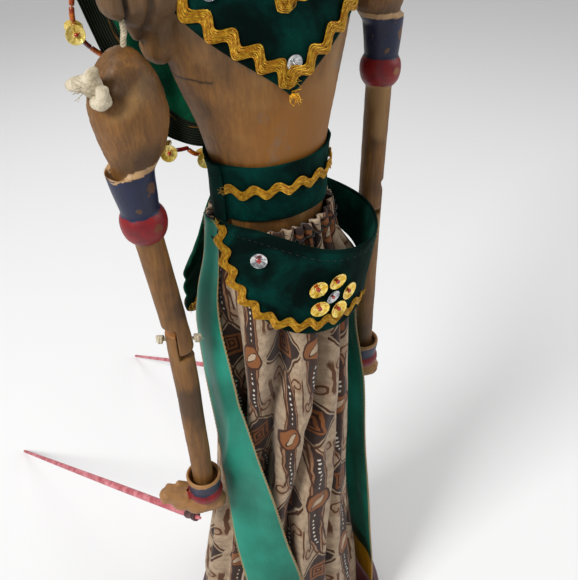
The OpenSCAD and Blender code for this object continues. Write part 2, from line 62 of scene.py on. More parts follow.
# ---------- shader expressions
class X:
    """A value in a node tree, so that patterns can be written as sums."""
    def __init__(s, t, k):
        s.t, s.k = t, k
    def op(s, o, b=None, c=None, clamp=False):
        n = s.t.nodes.new("ShaderNodeMath")
        n.operation = o
        n.use_clamp = clamp
        for i, v in enumerate((s, b, c)):
            if v is None:
                continue
            if isinstance(v, X):
                s.t.links.new(v.k, n.inputs[i])
            else:
                n.inputs[i].default_value = float(v)
        return X(s.t, n.outputs[0])
    def __add__(s, b):
        return s.op("ADD", b)
    __radd__ = __add__
    def __sub__(s, b):
        return s.op("SUBTRACT", b)
    def __rsub__(s, b):
        return (s * -1) + b
    def __mul__(s, b):
        return s.op("MULTIPLY", b)
    __rmul__ = __mul__
    def __truediv__(s, b):
        return s.op("DIVIDE", b)
    def __neg__(s):
        return s * -1
    def abs(s):
        return s.op("ABSOLUTE")
    def sin(s):
        return s.op("SINE")
    def floor(s):
        return s.op("FLOOR")
    def frac(s):
        return s.op("FRACT")
    def sqrt(s):
        return s.op("SQRT")
    def pow(s, b):
        return s.op("POWER", b)
    def max(s, b):
        return s.op("MAXIMUM", b)
    def atan2(s, b):
        return s.op("ARCTAN2", b)
    def band(s, lo, hi):
        """0 below lo, 1 above hi (or the other way round), smooth between."""
        n = s.t.nodes.new("ShaderNodeMapRange")
        n.interpolation_type = "SMOOTHSTEP"
        s.t.links.new(s.k, n.inputs[0])
        n.inputs[1].default_value = lo
        n.inputs[2].default_value = hi
        return X(s.t, n.outputs[0])


class Mat:
    """A Principled material, and the nodes that its patterns need."""
    def __init__(s, name, rough=0.6, metal=0.0, spec=0.5, **kw):
        s.m = bpy.data.materials.new(name)
        s.m.use_nodes = True
        s.t = s.m.node_tree
        s.b = s.t.nodes["Principled BSDF"]
        s.set("Roughness", rough)
        s.set("Metallic", metal)
        s.set("Specular IOR Level", spec)
        for k, v in kw.items():
            s.set(k.replace("_", " "), v)
    def set(s, k, v):
        i = s.b.inputs[k]
        if isinstance(v, X):
            s.t.links.new(v.k, i)
        elif isinstance(v, bpy.types.NodeSocket):
            s.t.links.new(v, i)
        elif isinstance(v, (tuple, list)):
            i.default_value = (*v[:3], 1.0)
        else:
            i.default_value = v
        return s
    def coord(s, kind="Object", scale=(1, 1, 1)):
        if not hasattr(s, "tc"):
            s.tc = s.t.nodes.new("ShaderNodeTexCoord")
        n = s.t.nodes.new("ShaderNodeMapping")
        n.inputs["Scale"].default_value = scale
        s.t.links.new(s.tc.outputs[kind], n.inputs[0])
        return n.outputs[0]
    def xyz(s, v):
        n = s.t.nodes.new("ShaderNodeSeparateXYZ")
        s.t.links.new(v, n.inputs[0])
        return [X(s.t, o) for o in n.outputs]
    def noise(s, v, scale, detail=3, rough=0.55, dist=0.0):
        n = s.t.nodes.new("ShaderNodeTexNoise")
        s.t.links.new(v, n.inputs["Vector"])
        n.inputs["Scale"].default_value = scale
        n.inputs["Detail"].default_value = detail
        n.inputs["Roughness"].default_value = rough
        n.inputs["Distortion"].default_value = dist
        return X(s.t, n.outputs[0])
    def attr(s, name):
        n = s.t.nodes.new("ShaderNodeAttribute")
        n.attribute_name = name
        return n.outputs["Color"], X(s.t, n.outputs["Alpha"]), X(s.t, n.outputs["Fac"])
    def mix(s, f, a, b):
        n = s.t.nodes.new("ShaderNodeMix")
        n.data_type = "RGBA"
        for i, v in ((0, f), (6, a), (7, b)):
            if isinstance(v, X):
                s.t.links.new(v.k, n.inputs[i])
            elif isinstance(v, bpy.types.NodeSocket):
                s.t.links.new(v, n.inputs[i])
            elif isinstance(v, (tuple, list)):
                n.inputs[i].default_value = (*v[:3], 1.0)
            else:
                n.inputs[i].default_value = v
        return n.outputs[2]
    def ground(s, f, a, b):
        """Starts the base colour: from a to b as f goes from 0 to 1."""
        s.c = s.mix(f, linear(a), linear(b))
    def coat(s, f, colour):
        """Lays a colour over the base colour where f is above 0."""
        s.c = s.mix(f, s.c, linear(colour))
    def bump(s, h, strength=0.3, dist=0.0003):
        n = s.t.nodes.new("ShaderNodeBump")
        n.inputs["Strength"].default_value = strength
        n.inputs["Distance"].default_value = dist
        s.t.links.new(h.k, n.inputs["Height"])
        if hasattr(s, "last"):
            s.t.links.new(s.last, n.inputs["Normal"])
        s.last = n.outputs[0]
        s.t.links.new(s.last, s.b.inputs["Normal"])
        return s


def linear(h):
    """Hex colour as seen, to linear."""
    c = [int(h[i:i + 2], 16) / 255 for i in (0, 2, 4)]
    return tuple(x / 12.92 if x <= 0.04045 else ((x + 0.055) / 1.055) ** 2.4 for x in c)


def wood_mat(name, paint=False, base=("66431f", "805727", "2b1c0c"), gloss=0.55):
    """Stained, worn wood with broad patches of painted light and shade, and painted parts where the paint
    attribute is set.
    """
    m = Mat(name, rough=gloss, spec=0.35)
    g = m.noise(m.coord(scale=(60, 60, 7)), 9, 5, 0.62, 0.7)
    fine = m.noise(m.coord(scale=(260, 260, 16)), 5, 3, 0.6)
    blot = m.noise(m.coord(), 38, 4, 0.6)
    fig = g.band(0.3, 0.72)
    m.ground(fig, base[0], base[1])
    m.coat(blot.band(0.5, 0.78) * 0.75, base[2])
    m.coat(fine.band(0.55, 0.8) * 0.35, base[2])
    painted_light_and_shade = m.noise(m.coord(), 26, 2, 0.5, 0.4)  # broad random patches: painted shade where dark, painted light where light
    m.coat(painted_light_and_shade.band(0.5, 0.66) * 0.75, "382614")
    m.coat(painted_light_and_shade.band(0.44, 0.3) * 0.6, "a27f50")
    if paint == "torso":
        x, _, z = m.xyz(m.coord())
        # gold-ochre glow on the belly, grey dust on the shoulders
        d = (((x - 0.004) / 0.026).pow(2) + ((z - 0.362) / 0.024).pow(2)).sqrt() + (blot - 0.5) * 0.8
        m.coat(d.band(1.35, 0.35) * 0.85, "8a5614")
        up = (z + (blot - 0.5) * 0.02).band(0.385, 0.412)
        m.coat(up * 0.5, "4f4234")
        # grey worn patches
        m.coat(m.noise(m.coord(), 62, 4, 0.6).band(0.56, 0.72) * 0.5, "6b655c")
        col, al, _ = m.attr("paint")
        m.c = m.mix(al, m.c, col)
    if paint and paint != "torso":
        col, al, _ = m.attr("paint")
        worn = m.noise(m.coord(), 330, 5, 0.7)
        big = m.noise(m.coord(), 95, 3, 0.6)
        hold = (worn * 0.45 + big * 0.55).band(0.655, 0.60)
        pc = m.mix(m.noise(m.coord(), 210, 4, 0.6).band(0.35, 0.8) * 0.5, col, linear("191722"))
        k = al * hold
        m.c = m.mix(k, m.c, pc)
        m.set("Roughness", k * -0.12 + gloss)
        m.bump(k, 0.35, 0.00025)
    m.set("Base Color", m.c)
    m.bump(g * 0.6 + fine * 0.5 + blot * 1.2, 0.35, 0.0005)
    return m.m


def velvet_mat(name, dark="000d0a", light="00302a", sheen_streak="02503f", ribs=False):
    """Crushed velvet, painted sheen in its light patches and streaks; with ribs, a ribbed ribbon hem along
    its lower edge.
    """
    m = Mat(name, rough=0.85, spec=0.06, Sheen_Weight=0.07, Sheen_Roughness=0.4)
    m.set("Sheen Tint", linear("2fae8c"))
    n = m.noise(m.coord(), 46, 4, 0.6, 0.4)
    f = m.noise(m.coord(), 900, 2, 0.5)
    # painted sheen: the light tone in broad patches, and brighter streaks on the pile
    m.ground(n.band(0.40, 0.72), dark, light)
    m.coat(f.band(0.55, 0.8) * n.band(0.45, 0.7) * 0.4, sheen_streak)
    m.bump(f, 0.35, 0.0003)
    m.bump(n, 0.5, 0.0012)
    if ribs:  # a ribbed ribbon hem along the lower edge
        u, v, _ = m.xyz(m.coord("UV"))
        r = (v * 5600).sin()
        hem = v.band(0.0112, 0.0104)
        line = (v - 0.0085 + (u * 900).sin() * 0.0002).abs().band(0.0003, 0.00015)
        line = line * (u * 420).sin().band(-0.4, -0.1)
        # lighter on the ribs' crests and darker in their troughs: painted light and shade
        h = m.mix(r.band(-0.3, 0.5) * 0.8, linear("0c0f0b"), linear("2a2f22"))
        h = m.mix(line, h, linear("6e4a1e"))
        m.c = m.mix(hem, m.c, h)
        m.bump(r * hem, 0.6, 0.0003)
    m.set("Base Color", m.c)
    return m.m


def braid_mat():
    m = Mat("gold_braid", rough=0.42, metal=0.55, spec=0.6)
    u = m.xyz(m.coord("UV"))
    tw = ((u[0] * 2.6 + u[1] * 1.2) * 2 * pi).sin()
    n = m.noise(m.coord(), 700, 3, 0.6)
    m.ground(n.band(0.35, 0.7), "cc8806", "ffcc34")
    # dark in the grooves between the twisted strands: painted shade
    m.coat(tw.band(0.1, -0.9) * 0.75, "5d3a08")
    m.set("Base Color", m.c)
    m.bump(tw, 0.7, 0.0003)
    m.bump(n, 0.5, 0.0002)
    return m.m


def cloth_mat(name, a, b):
    m = Mat(name, rough=0.9, spec=0.2, Sheen_Weight=0.2)
    n = m.noise(m.coord(), 160, 4, 0.6)
    f = m.noise(m.coord(), 1600, 3, 0.6)
    m.set("Base Color", m.mix((n * 0.6 + f * 0.4).band(0.35, 0.65), linear(a), linear(b)))
    m.bump(f, 0.6, 0.0003)
    return m.m


def satin_mat():
    """Satin with the sash's woven end bands."""
    m = Mat("satin", rough=0.48, spec=0.26, Sheen_Weight=0.1, Sheen_Roughness=0.3, Anisotropic=0.4)
    m.set("Sheen Tint", linear("3fae94"))
    u, v, _ = m.xyz(m.coord("UV"))
    t = m.noise(m.coord("UV", (160, 22, 1)), 3, 3, 0.6)
    big = m.noise(m.coord(), 30, 3, 0.5)
    m.ground((t * 0.35 + big * 0.65).band(0.36, 0.66), "095c4a", "1e8872")
    end = v.band(0.0295, 0.0285)  # woven end bands of the sash: green, then gold
    gold = v.band(0.0185, 0.0175)
    m.coat(end, "142f1c")
    m.coat(gold, "c28a0c")
    edge = u.abs().band(0.47, 0.485)
    m.coat(edge * 0.6, "b8946a")
    m.set("Base Color", m.c)
    m.bump(t, 0.18, 0.0003)
    return m.m


def batik_mat():
    """Columns of diamonds, dark spindles, eyes, dots and scrolls, in millimetres."""
    m = Mat("batik", rough=0.88, spec=0.18, Sheen_Weight=0.15)
    wob = m.noise(m.coord("UV"), 90, 2, 0.5)
    wob2 = m.noise(m.coord("UV", (1, 1, 3)), 60, 2, 0.5)
    u0, v0, _ = m.xyz(m.coord("UV"))
    u, v = u0 * 1000 + (wob - 0.5) * 5, v0 * 1000 + (wob2 - 0.5) * 7  # in millimetres
    W, H = 25.0, 108.0
    col = (u / W).floor()
    uu = u - (col + 0.5) * W
    odd = (col * 0.5).frac() * 2
    q = (v + odd * (H / 2)) / H
    vv = (q.frac() - 0.5) * H  # the eye is at vv = 0, the square at both ends
    side = uu.op("SIGN")
    va = vv.abs()
    ctr = (vv * (pi / 34)).sin() * 1.7
    wedge = (1 - va / 40).max(0).pow(0.75) * 5.4
    dw = (uu - ctr).abs() - wedge  # below 0 in the dark spindle
    m.ground(m.noise(m.coord("UV"), 240, 3, 0.6).band(0.3, 0.75), "b09a80", "8c7660")
    m.coat(dw.band(3.2, 0.6) * va.band(46, 30) * 0.75, "7d4c2a")
    m.coat(dw.band(0.35, -0.1), "33241f")
    m.coat((dw - 1.5).abs().band(0.55, 0.3) * va.band(44, 38), "4a2b18")
    # dots
    cell = ((vv / 3.0).frac() - 0.5) * 3.0
    dot = (cell.pow(2) + (uu - ctr).pow(2)).sqrt()
    m.coat(dot.band(0.85, 0.55) * va.band(33, 31) * va.band(9, 10), "c9c2b4")
    # eye in an orange ring
    ring = ((uu / 8.6).pow(2) + (vv / 7.0).pow(2)).sqrt()
    m.coat(ring.band(1.05, 0.95), "84502a")
    m.coat((ring - 1.0).abs().band(0.12, 0.06), "3c2012")
    a, b = uu * 0.8 + vv * 0.6, vv * 0.8 - uu * 0.6
    eye = a.abs() / 5.4 + b.pow(2) / 7.5 + b.abs() * 0.12
    m.coat(eye.band(1.25, 1.1), "2e1a10")
    m.coat(eye.band(0.98, 0.85), "b09a80")
    # squares on a dark lozenge
    ve = H / 2 - va
    loz = uu.abs() / 12.0 + ve.abs() / 12.5
    m.coat((loz - 1.2).abs().band(0.09, 0.05), "472a18")
    m.coat(loz.band(1.08, 1.0), "33241f")
    sq = uu.abs().max(ve.abs())
    m.coat(sq.band(6.0, 5.6), "7c4a26")
    m.coat((sq - 3.7).abs().band(0.65, 0.4), "341a0e")
    m.coat((sq - 1.5).abs().band(0.6, 0.35), "341a0e")
    # scrolls: a curl beside each lozenge, and its stem down to the spindle
    cu, cv = uu - side * 7.4, va - 34.5
    r = (cu.pow(2) + cv.pow(2)).sqrt()
    th = cv.atan2(cu * side) / (2 * pi) + 0.5
    sp = (r - (th * 3.2 + 1.0)).abs()
    m.coat(sp.band(0.75, 0.45) * r.band(4.9, 4.4), "452715")
    m.coat(r.band(6.4, 3.4) * 0.28, "7d4c2a")
    st = (uu - side * (5.4 + (va - 34).max(-60) * 0.14)).abs()
    m.coat(st.band(0.75, 0.45) * va.band(34, 33) * va.band(6, 9), "452715")
    edge = (uu.abs() - (W / 2 - 0.4)).abs() + ((va - 27).abs() * 0.02)
    m.coat(edge.band(0.9, 0.5) * va.band(14, 18) * va.band(40, 36), "573620")
    f = m.noise(m.coord(), 1500, 2, 0.5)
    m.coat(f.band(0.4, 0.75) * 0.22, "3a2a22")
    m.set("Base Color", m.c)
    m.bump(f, 0.4, 0.0002)
    m.bump(m.noise(m.coord(), 120, 3, 0.5), 0.45, 0.001)
    return m.m


def plain(name, c, rough=0.4, **kw):
    m = Mat(name, rough=rough, **kw)
    m.set("Base Color", linear(c))
    return m.m


def noisy(name, a, b, scale, rough=0.5, metal=0.0, **kw):
    m = Mat(name, rough=rough, metal=metal, **kw)
    n = m.noise(m.coord(), scale, 4, 0.6)
    m.set("Base Color", m.mix(n.band(0.35, 0.7), linear(a), linear(b)))
    m.bump(n, 0.3, 0.0004)
    return m.m


def lacquer_mat():
    m = Mat("turned_base", rough=0.32, spec=0.5)
    n = m.noise(m.coord(), 45, 4, 0.6)
    w = m.noise(m.coord(), 260, 4, 0.7)
    x, y, z = m.xyz(m.coord())
    ring = ((x.pow(2) + y.pow(2)).sqrt() * 2600 + z * 2600).sin()
    m.ground(n.band(0.35, 0.7), "3a0f14", "571a1c")
    m.coat(w.band(0.68, 0.76) * 0.6, "8a5a34")
    m.set("Base Color", m.c)
    m.set("Roughness", n * 0.25 + 0.22)
    m.bump(ring, 0.12, 0.0002)
    return m.m


def sequin_mat(name, a, b):
    m = Mat(name, rough=0.16, metal=0.92, spec=0.8, Coat_Weight=0.3)
    n = m.noise(m.coord(), 480, 2, 0.5)
    m.set("Base Color", m.mix(n.band(0.35, 0.65), linear(a), linear(b)))
    m.bump(n, 0.25, 0.0004)
    return m.m


M = dict(wood=wood_mat("carved_wood"), torso=wood_mat("torso_wood", paint="torso"),
         painted=wood_mat("painted_wood", paint=True),
         face=wood_mat("face_wood", paint=True, base=("84602f", "9a7038", "5a3f24"), gloss=0.45),
         rodwood=wood_mat("rod_wood", base=("8a6336", "a27a4c", "5b4028")), velvet=velvet_mat("velvet"),
         # a darker copy of the velvet: painted shade, used on the cape and the wrap's rim
         velvet_shaded=velvet_mat("velvet_shaded", light="02241e"),
         lining=velvet_mat("lining", "06251e", "0f4a3c"),
         hem=velvet_mat("hemmed_lining", "042c1e", "0c5236", "0f6a48", True), braid=braid_mat(),
         gold=sequin_mat("gold_sequin", "d9a91e", "ffe680"),
         silver=sequin_mat("silver_sequin", "8f9296", "dcdcda"),
         bead=plain("red_bead", "a01c10", 0.15, Coat_Weight=0.6),
         amber=noisy("amber_bead", "8e3206", "d06e18", 420, 0.12, Transmission_Weight=0.15,
        Coat_Weight=0.5), redamber=plain("dark_red_bead", "6a0d08", 0.15, Coat_Weight=0.6),
         batik=batik_mat(), satin=satin_mat(), cotton=cloth_mat("cotton_cord", "96896e", "cdc1a8"),
         tie=cloth_mat("tie_cord", "3a2428", "70504c"), thread=plain("black_thread", "0b0b0c", 0.6),
         rose=noisy("rose_rod", "a8434c", "d4838a", 150, 0.5), lacquer=lacquer_mat(),
         crown=noisy("crown_paint", "8a5f14", "d6a235", 180, 0.38, 0.55),
         crimson=noisy("crimson_paint", "7d1024", "a81d34", 120, 0.4),
         palegold=noisy("pale_gold_sequin", "c8a638", "f2e08a", 420, 0.18, 0.35, Coat_Weight=0.5),
         edge=noisy("sash_edge_thread", "b8742e", "2c8f78", 900, 0.6),)


# ---------- geometry helpers (millimetres)
def ripple(*a, s=0):
    """Cheap smooth noise from -1 to 1."""
    r = np.random.default_rng(100 + s)
    out = 0
    for k in range(5):
        w = r.normal(size=len(a)) * (1 + 0.5 * k)
        p = r.uniform(0, 6.28)
        out = out + sin(sum(x * y for x, y in zip(a, w)) + p) / (1 + 0.5 * k)
    return out / 2.6


def grain(co, across, along, s):
    """Ripple over carved points: its scale across the grain (x, y) and along it (z)."""
    return ripple(co[:, 0] * across, co[:, 1] * across, co[:, 2] * along, s=s)


def knife(h, cuts):
    """What is left of h above and below its rounding to steps of 1 / cuts, like a knife's flats."""
    return h - np.round(h * cuts) / cuts


def bell(d, width):
    """1 at d = 0, falling to 0 a few widths away."""
    return exp(-(d / width) ** 2)


def smooth01(t):
    t = clip(t, 0, 1)
    return t * t * (3 - 2 * t)


def column(T, z, k):
    """Smooth value of column k at z; the rows of T rise in column 0."""
    T = np.asarray(T, float)
    x, y = T[:, 0], T[:, k]
    m = np.empty_like(y)
    m[1:-1] = (y[2:] - y[:-2]) / (x[2:] - x[:-2])
    m[0] = (y[1] - y[0]) / (x[1] - x[0])
    m[-1] = (y[-1] - y[-2]) / (x[-1] - x[-2])
    z = clip(np.asarray(z, float), x[0], x[-1])
    i = clip(np.searchsorted(x, z, side="right") - 1, 0, len(x) - 2)
    h = x[i + 1] - x[i]
    t = (z - x[i]) / h
    return ((2*t**3 - 3*t**2 + 1) * y[i] + (t**3 - 2*t**2 + t) * h * m[i] + (3*t**2 - 2*t**3) * y[i+1]
            + (t**3 - t**2) * h * m[i+1])


def obj(name, verts, faces, mat, body, cad=(), slot=None, uv=None, smooth=True, mats=None, fmat=None):
    """A mesh object from millimetre points, put on a body; slot is not used."""
    me = bpy.data.meshes.new(name)
    v = np.asarray(verts, float).reshape(-1, 3) * MM
    me.from_pydata(v.tolist(), [], [tuple(f) for f in faces])
    me.validate()
    if uv is not None:
        lay = me.uv_layers.new(name="UVMap")
        uv = np.asarray(uv, float)
        idx = np.empty(len(me.loops), int)
        me.loops.foreach_get("vertex_index", idx)
        lay.data.foreach_set("uv", uv[idx].astype(np.float32).ravel())
    if smooth:
        me.polygons.foreach_set("use_smooth", [True] * len(me.polygons))
    for x in (mats or [mat]):
        me.materials.append(x)
    if fmat is not None:
        me.polygons.foreach_set("material_index", fmat)
    me.update()
    o = bpy.data.objects.new(name, me)
    bpy.context.scene.collection.objects.link(o)
    if body:
        attach(o, body, cad)
    return o


def attach(o, body, cad=()):
    """Tells the frame what the object rides on and stands for."""
    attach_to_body(o, body)
    if cad:
        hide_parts(*([cad] if isinstance(cad, str) else cad))
    return o


def quads(m, n, wrap=False, flip=False):
    """Faces of a grid of m by n points."""
    i, j = np.meshgrid(arange(m - 1), arange(n if wrap else n - 1), indexing="ij")
    a = i * n + j
    b = i * n + (j + 1) % n
    f = stack([a, b, b + n, a + n], -1).reshape(-1, 4)
    return (f[:, ::-1] if flip else f).tolist()


def sheet_mesh(name, P, mat, body, cad=(), uv=None, wrap=False, thick=0.8, mats=None, back=None):
    """P is a grid of points (m, n, 3) on the outer face; the cloth's thickness goes inward."""
    m, n = P.shape[:2]
    o = obj(name, P, quads(m, n, wrap), mat, None, uv=None if uv is None else uv.reshape(-1, 2), mats=mats)
    s = o.modifiers.new("thick", "SOLIDIFY")
    s.thickness = thick * MM
    s.offset = -1
    if back is not None:
        s.material_offset = back
    if body:
        attach(o, body, cad)
    return o


def caps(m, n):
    """The two end faces of a tube of m rings with n points each."""
    return [tuple(range(n))[::-1], tuple((m - 1) * n + k for k in range(n))]


def poles(m, n):
    """Fans to the two pole points after m rings of n points."""
    low = [(m * n, (j + 1) % n, j) for j in range(n)]
    return low + [(m * n + 1, (m - 1) * n + j, (m - 1) * n + (j + 1) % n) for j in range(n)]


def run(P):
    """Distance along a path at each of its points."""
    return np.r_[0, np.cumsum(np.linalg.norm(np.diff(P, axis=0), axis=1))]


def lathe_geo(prof, n=32, at=(0, 0, 0), rot=None):
    """A closed turned solid from (radius, height) pairs."""
    prof = np.asarray(prof, float)
    a = linspace(0, 2 * pi, n, endpoint=False)
    m = len(prof)
    V = stack([prof[:, :1] * cos(a), prof[:, :1] * sin(a), prof[:, 1:2] + 0 * a], -1)
    return place(V, at, rot).reshape(-1, 3), quads(m, n, True) + caps(m, n)


def lathe(name, prof, mat, body, cad=(), slot=None, n=64, at=(0, 0, 0)):
    return obj(name, *lathe_geo(prof, n, at), mat, body, cad, slot)


def place(P, at=(0, 0, 0), rot=None):
    """Turns points by rot, then moves them to at."""
    P = np.asarray(P, float)
    if rot is not None:
        P = P @ np.asarray(rot).T
    return P + np.asarray(at, float)


def rx(t):
    c, s = cos(rad(t)), sin(rad(t))
    return array([[1, 0, 0], [0, c, -s], [0, s, c]])
def ry(t):
    c, s = cos(rad(t)), sin(rad(t))
    return array([[c, 0, s], [0, 1, 0], [-s, 0, c]])
def rz(t):
    c, s = cos(rad(t)), sin(rad(t))
    return array([[c, -s, 0], [s, c, 0], [0, 0, 1]])


def resample(P, n):
    """n points at even distances along a path."""
    P = np.asarray(P, float)
    d = run(P)
    t = linspace(0, d[-1], n)
    return stack([np.interp(t, d, P[:, k]) for k in range(3)], -1)


def smooth_path(P, n=60):
    """Catmull-Rom through the points."""
    P = np.asarray(P, float)
    Q = np.vstack([2 * P[0] - P[1], P, 2 * P[-1] - P[-2]])
    out = []
    for i in range(1, len(Q) - 2):
        t = linspace(0, 1, max(4, n // (len(P) - 1)), endpoint=False)[:, None]
        p0, p1, p2, p3 = Q[i - 1], Q[i], Q[i + 1], Q[i + 2]
        out.append(0.5 * (2 * p1 + (p2 - p0) * t + (2*p0 - 5*p1 + 4*p2 - p3) * t**2
                          + (3*p1 - p0 - 3*p2 + p3) * t**3))
    return resample(np.vstack(out + [P[-1:]]), n)


def tube_geo(P, r, k=8):
    """Tube of radius r round a path: points, faces and a map along it."""
    P = np.asarray(P, float)
    n = len(P)
    T = np.gradient(P, axis=0)
    T /= np.linalg.norm(T, axis=1, keepdims=True) + 1e-9
    ref = array([0, 0, 1.0]) if abs(T[0, 2]) < 0.9 else array([1.0, 0, 0])
    U = np.empty_like(P)
    u = ref - T[0] * (ref @ T[0])
    u /= np.linalg.norm(u)
    for i in range(n):
        u = u - T[i] * (u @ T[i])
        u /= np.linalg.norm(u) + 1e-9
        U[i] = u
    V = cross(T, U)
    a = linspace(0, 2 * pi, k, endpoint=False)
    r = np.broadcast_to(r, (n,))
    G = (P[:, None] + r[:, None, None] * (cos(a)[None, :, None] * U[:, None]
                                          + sin(a)[None, :, None] * V[:, None]))
    f = quads(n, k, True) + caps(n, k)
    d = run(P)
    uv = stack([np.repeat(d[:, None], k, 1), np.repeat(linspace(0, 1, k)[None], n, 0)], -1)
    return G.reshape(-1, 3), f, uv.reshape(-1, 2)


def join(parts):
    """Several (points, faces) as one."""
    V, F, UV, k = [], [], [], 0
    for p in parts:
        V.append(p[0])
        F += [tuple(int(i) + k for i in f) for f in p[1]]
        k += len(p[0])
        UV.append(p[2] if len(p) > 2 else np.zeros((len(p[0]), 2)))
    return np.vstack(V), F, np.vstack(UV)


def add(name, parts, mat, body, cad=(), slot=None, uv=False, smooth=True):
    """Joined parts as one object; with uv they keep their own maps."""
    v, f, u = join(parts)
    return obj(name, v, f, mat, body, cad, slot, uv=u if uv else None, smooth=smooth)


def remesh(name, parts, mat, body, cad=(), voxel=0.8, smooth=6, fn=None, paint=None):
    """Union of closed pieces as one carved skin."""
    V, F, _ = join(parts)
    o = obj(name, V, F, mat, None)
    a = o.modifiers.new("r", "REMESH")
    a.mode = "VOXEL"
    a.voxel_size = voxel * MM
    b = o.modifiers.new("s", "SMOOTH")
    b.iterations = smooth
    b.factor = 0.5
    dg = bpy.context.evaluated_depsgraph_get()
    me = bpy.data.meshes.new_from_object(o.evaluated_get(dg))
    o.modifiers.clear()
    o.data = me
    n = len(me.vertices)
    co = np.empty(n * 3, np.float32)
    me.vertices.foreach_get("co", co)
    no = np.empty(n * 3, np.float32)
    me.vertices.foreach_get("normal", no)
    co = co.reshape(-1, 3) / MM
    no = no.reshape(-1, 3)
    if fn is not None:
        co = fn(co, no)
        me.vertices.foreach_set("co", (co * MM).astype(np.float32).ravel())
    me.polygons.foreach_set("use_smooth", [True] * len(me.polygons))
    me.materials.clear()
    me.materials.append(mat)
    if paint is not None:
        set_paint(o, *paint(co))
    me.update()
    if body:
        attach(o, body, cad)
    return o


def set_paint(o, rgb, a):
    """Colour and cover of the paint at each point."""
    c = o.data.color_attributes.new("paint", "FLOAT_COLOR", "POINT")
    c.data.foreach_set("color", np.c_[rgb, a].astype(np.float32).ravel())


def coords(o):
    """The object's points in millimetres."""
    n = len(o.data.vertices)
    co = np.empty(n * 3, np.float32)
    o.data.vertices.foreach_get("co", co)
    return co.reshape(-1, 3) / MM


def ball(c, r, k=20, sq=(1, 1, 1)):
    """Closed ball of radius r at c, stretched by sq."""
    a = linspace(0, 2 * pi, k, endpoint=False)
    t = linspace(-pi / 2, pi / 2, k // 2 + 1)[1:-1]
    P = stack([cos(t)[:, None] * cos(a), cos(t)[:, None] * sin(a), sin(t)[:, None] + 0 * a], -1)
    m = len(t)
    V = np.vstack([P.reshape(-1, 3), [[0, 0, -1], [0, 0, 1]]]) * r * np.asarray(sq, float)
    return place(V, c), quads(m, k, True) + poles(m, k)


def capsule(a, b, r0, r1, k=16):
    """Closed rod from a to b with round ends of radius r0 and r1."""
    a, b = np.asarray(a, float), np.asarray(b, float)
    d = b - a
    L = np.linalg.norm(d)
    d /= L
    t0 = linspace(-1, 0, 5)[:-1]
    n = 10  # rings along the straight part
    prof = [(r0 * math.sqrt(max(0, 1 - x * x)) + 0.02, r0 * x) for x in t0]
    prof += [(r0 + (r1 - r0) * i / n, L * i / n) for i in range(n + 1)]
    prof += [(r1 * math.sqrt(max(0, 1 - x * x)) + 0.02, L + r1 * x) for x in linspace(0, 1, 5)[1:]]
    return tube_geo(array([a + d * p[1] for p in prof]), array([p[0] for p in prof]), k)[:2]


# ---------- the frame's own surfaces (millimetres, degrees)
BELT_TOP, BELT_H, CHIN, HEAD_H = 350.0, 25.0, 463.0, 70.0
TORSO = [[300, 19.5, 15.5, 15], [306, 22.5, 18, 17.5], [325, 24.6, 20.4, 19.6], [338, 24.8, 20.4, 19.4],
         [350, 26, 21.4, 20.4], [365, 29.4, 22.6, 21.4], [380, 33.8, 23.8, 22.4], [392, 37.2, 24.6, 23],
         [404, 40, 24.8, 23.4], [416, 41, 23.8, 23], [428, 40, 21.6, 21.6], [437, 34, 18, 18.4],
         [443, 24, 14.5, 14.8], [448, 15, 12.4, 12.4]]
SARONG = [[28.4, 50, 45, -8, -1], [60, 48, 43, -7, -1], [100, 42, 38, -5, -1], [150, 36.5, 33.5, -1, 0],
          [200, 34.5, 31.5, 1, 0], [250, 33.5, 30.5, 1, -0.5], [285, 32, 28.5, 0, -0.5],
          [305, 29, 25, 0, 0], [320, 27.4, 23.4, 0, 0]]
WRAP = [[196, 29.2, 26.8, 324.5, 318, 31, 28], [205, 29.2, 26.8, 324.5, 310, 33, 30],
        [214, 29.4, 27.4, 324.5, 298, 34.2, 32], [233, 30.4, 28.6, 324, 284, 36, 33.4],
        [253, 33, 32, 320.5, 276, 37.4, 35.6], [280, 39.4, 37, 312.5, 271.5, 39.6, 36.6],
        [305, 45.5, 41, 307.5, 272, 42, 37], [330, 49, 41, 305, 278, 43.4, 37.4],
        [355, 47.5, 38, 308, 287, 42, 37], [380, 40, 35.5, 314.5, 294, 38.6, 36],
        [402, 33, 31, 320, 300, 35.5, 34.4]]
SASH_R = [[40, 243, 3, 17, 0], [95, 237, 3.2, 20, 0], [133, 223, 4, 20.5, 0], [165, 213, 4.6, 20.5, 0],
          [200, 203, 5.6, 18.5, 0], [235, 193, 6.6, 17.5, 0], [268, 187, 7, 16.5, 0],
          [284, 184, 5, 14.5, 0], [300, 182, 2.7, 13.5, 0], [318, 182, 2.1, 12.5, 0]]
SASH_L = [[28.6, -20, 7.4, 17, -3.5], [64, -18, 7.8, 17, -3.7], [112, -17, 8.4, 16, -4.8],
          [165, -15, 7.7, 15, -4.3], [205, -14, 6.5, 14, -3.3], [225, -9, 5.6, 15, -1.4],
          [240, 0, 5.6, 17, 0], [264, 12, 7, 20, 0], [282, 15, 5, 19, 0], [300, 16, 2.7, 18, 0],
          [318, 16, 2.1, 16, 0]]
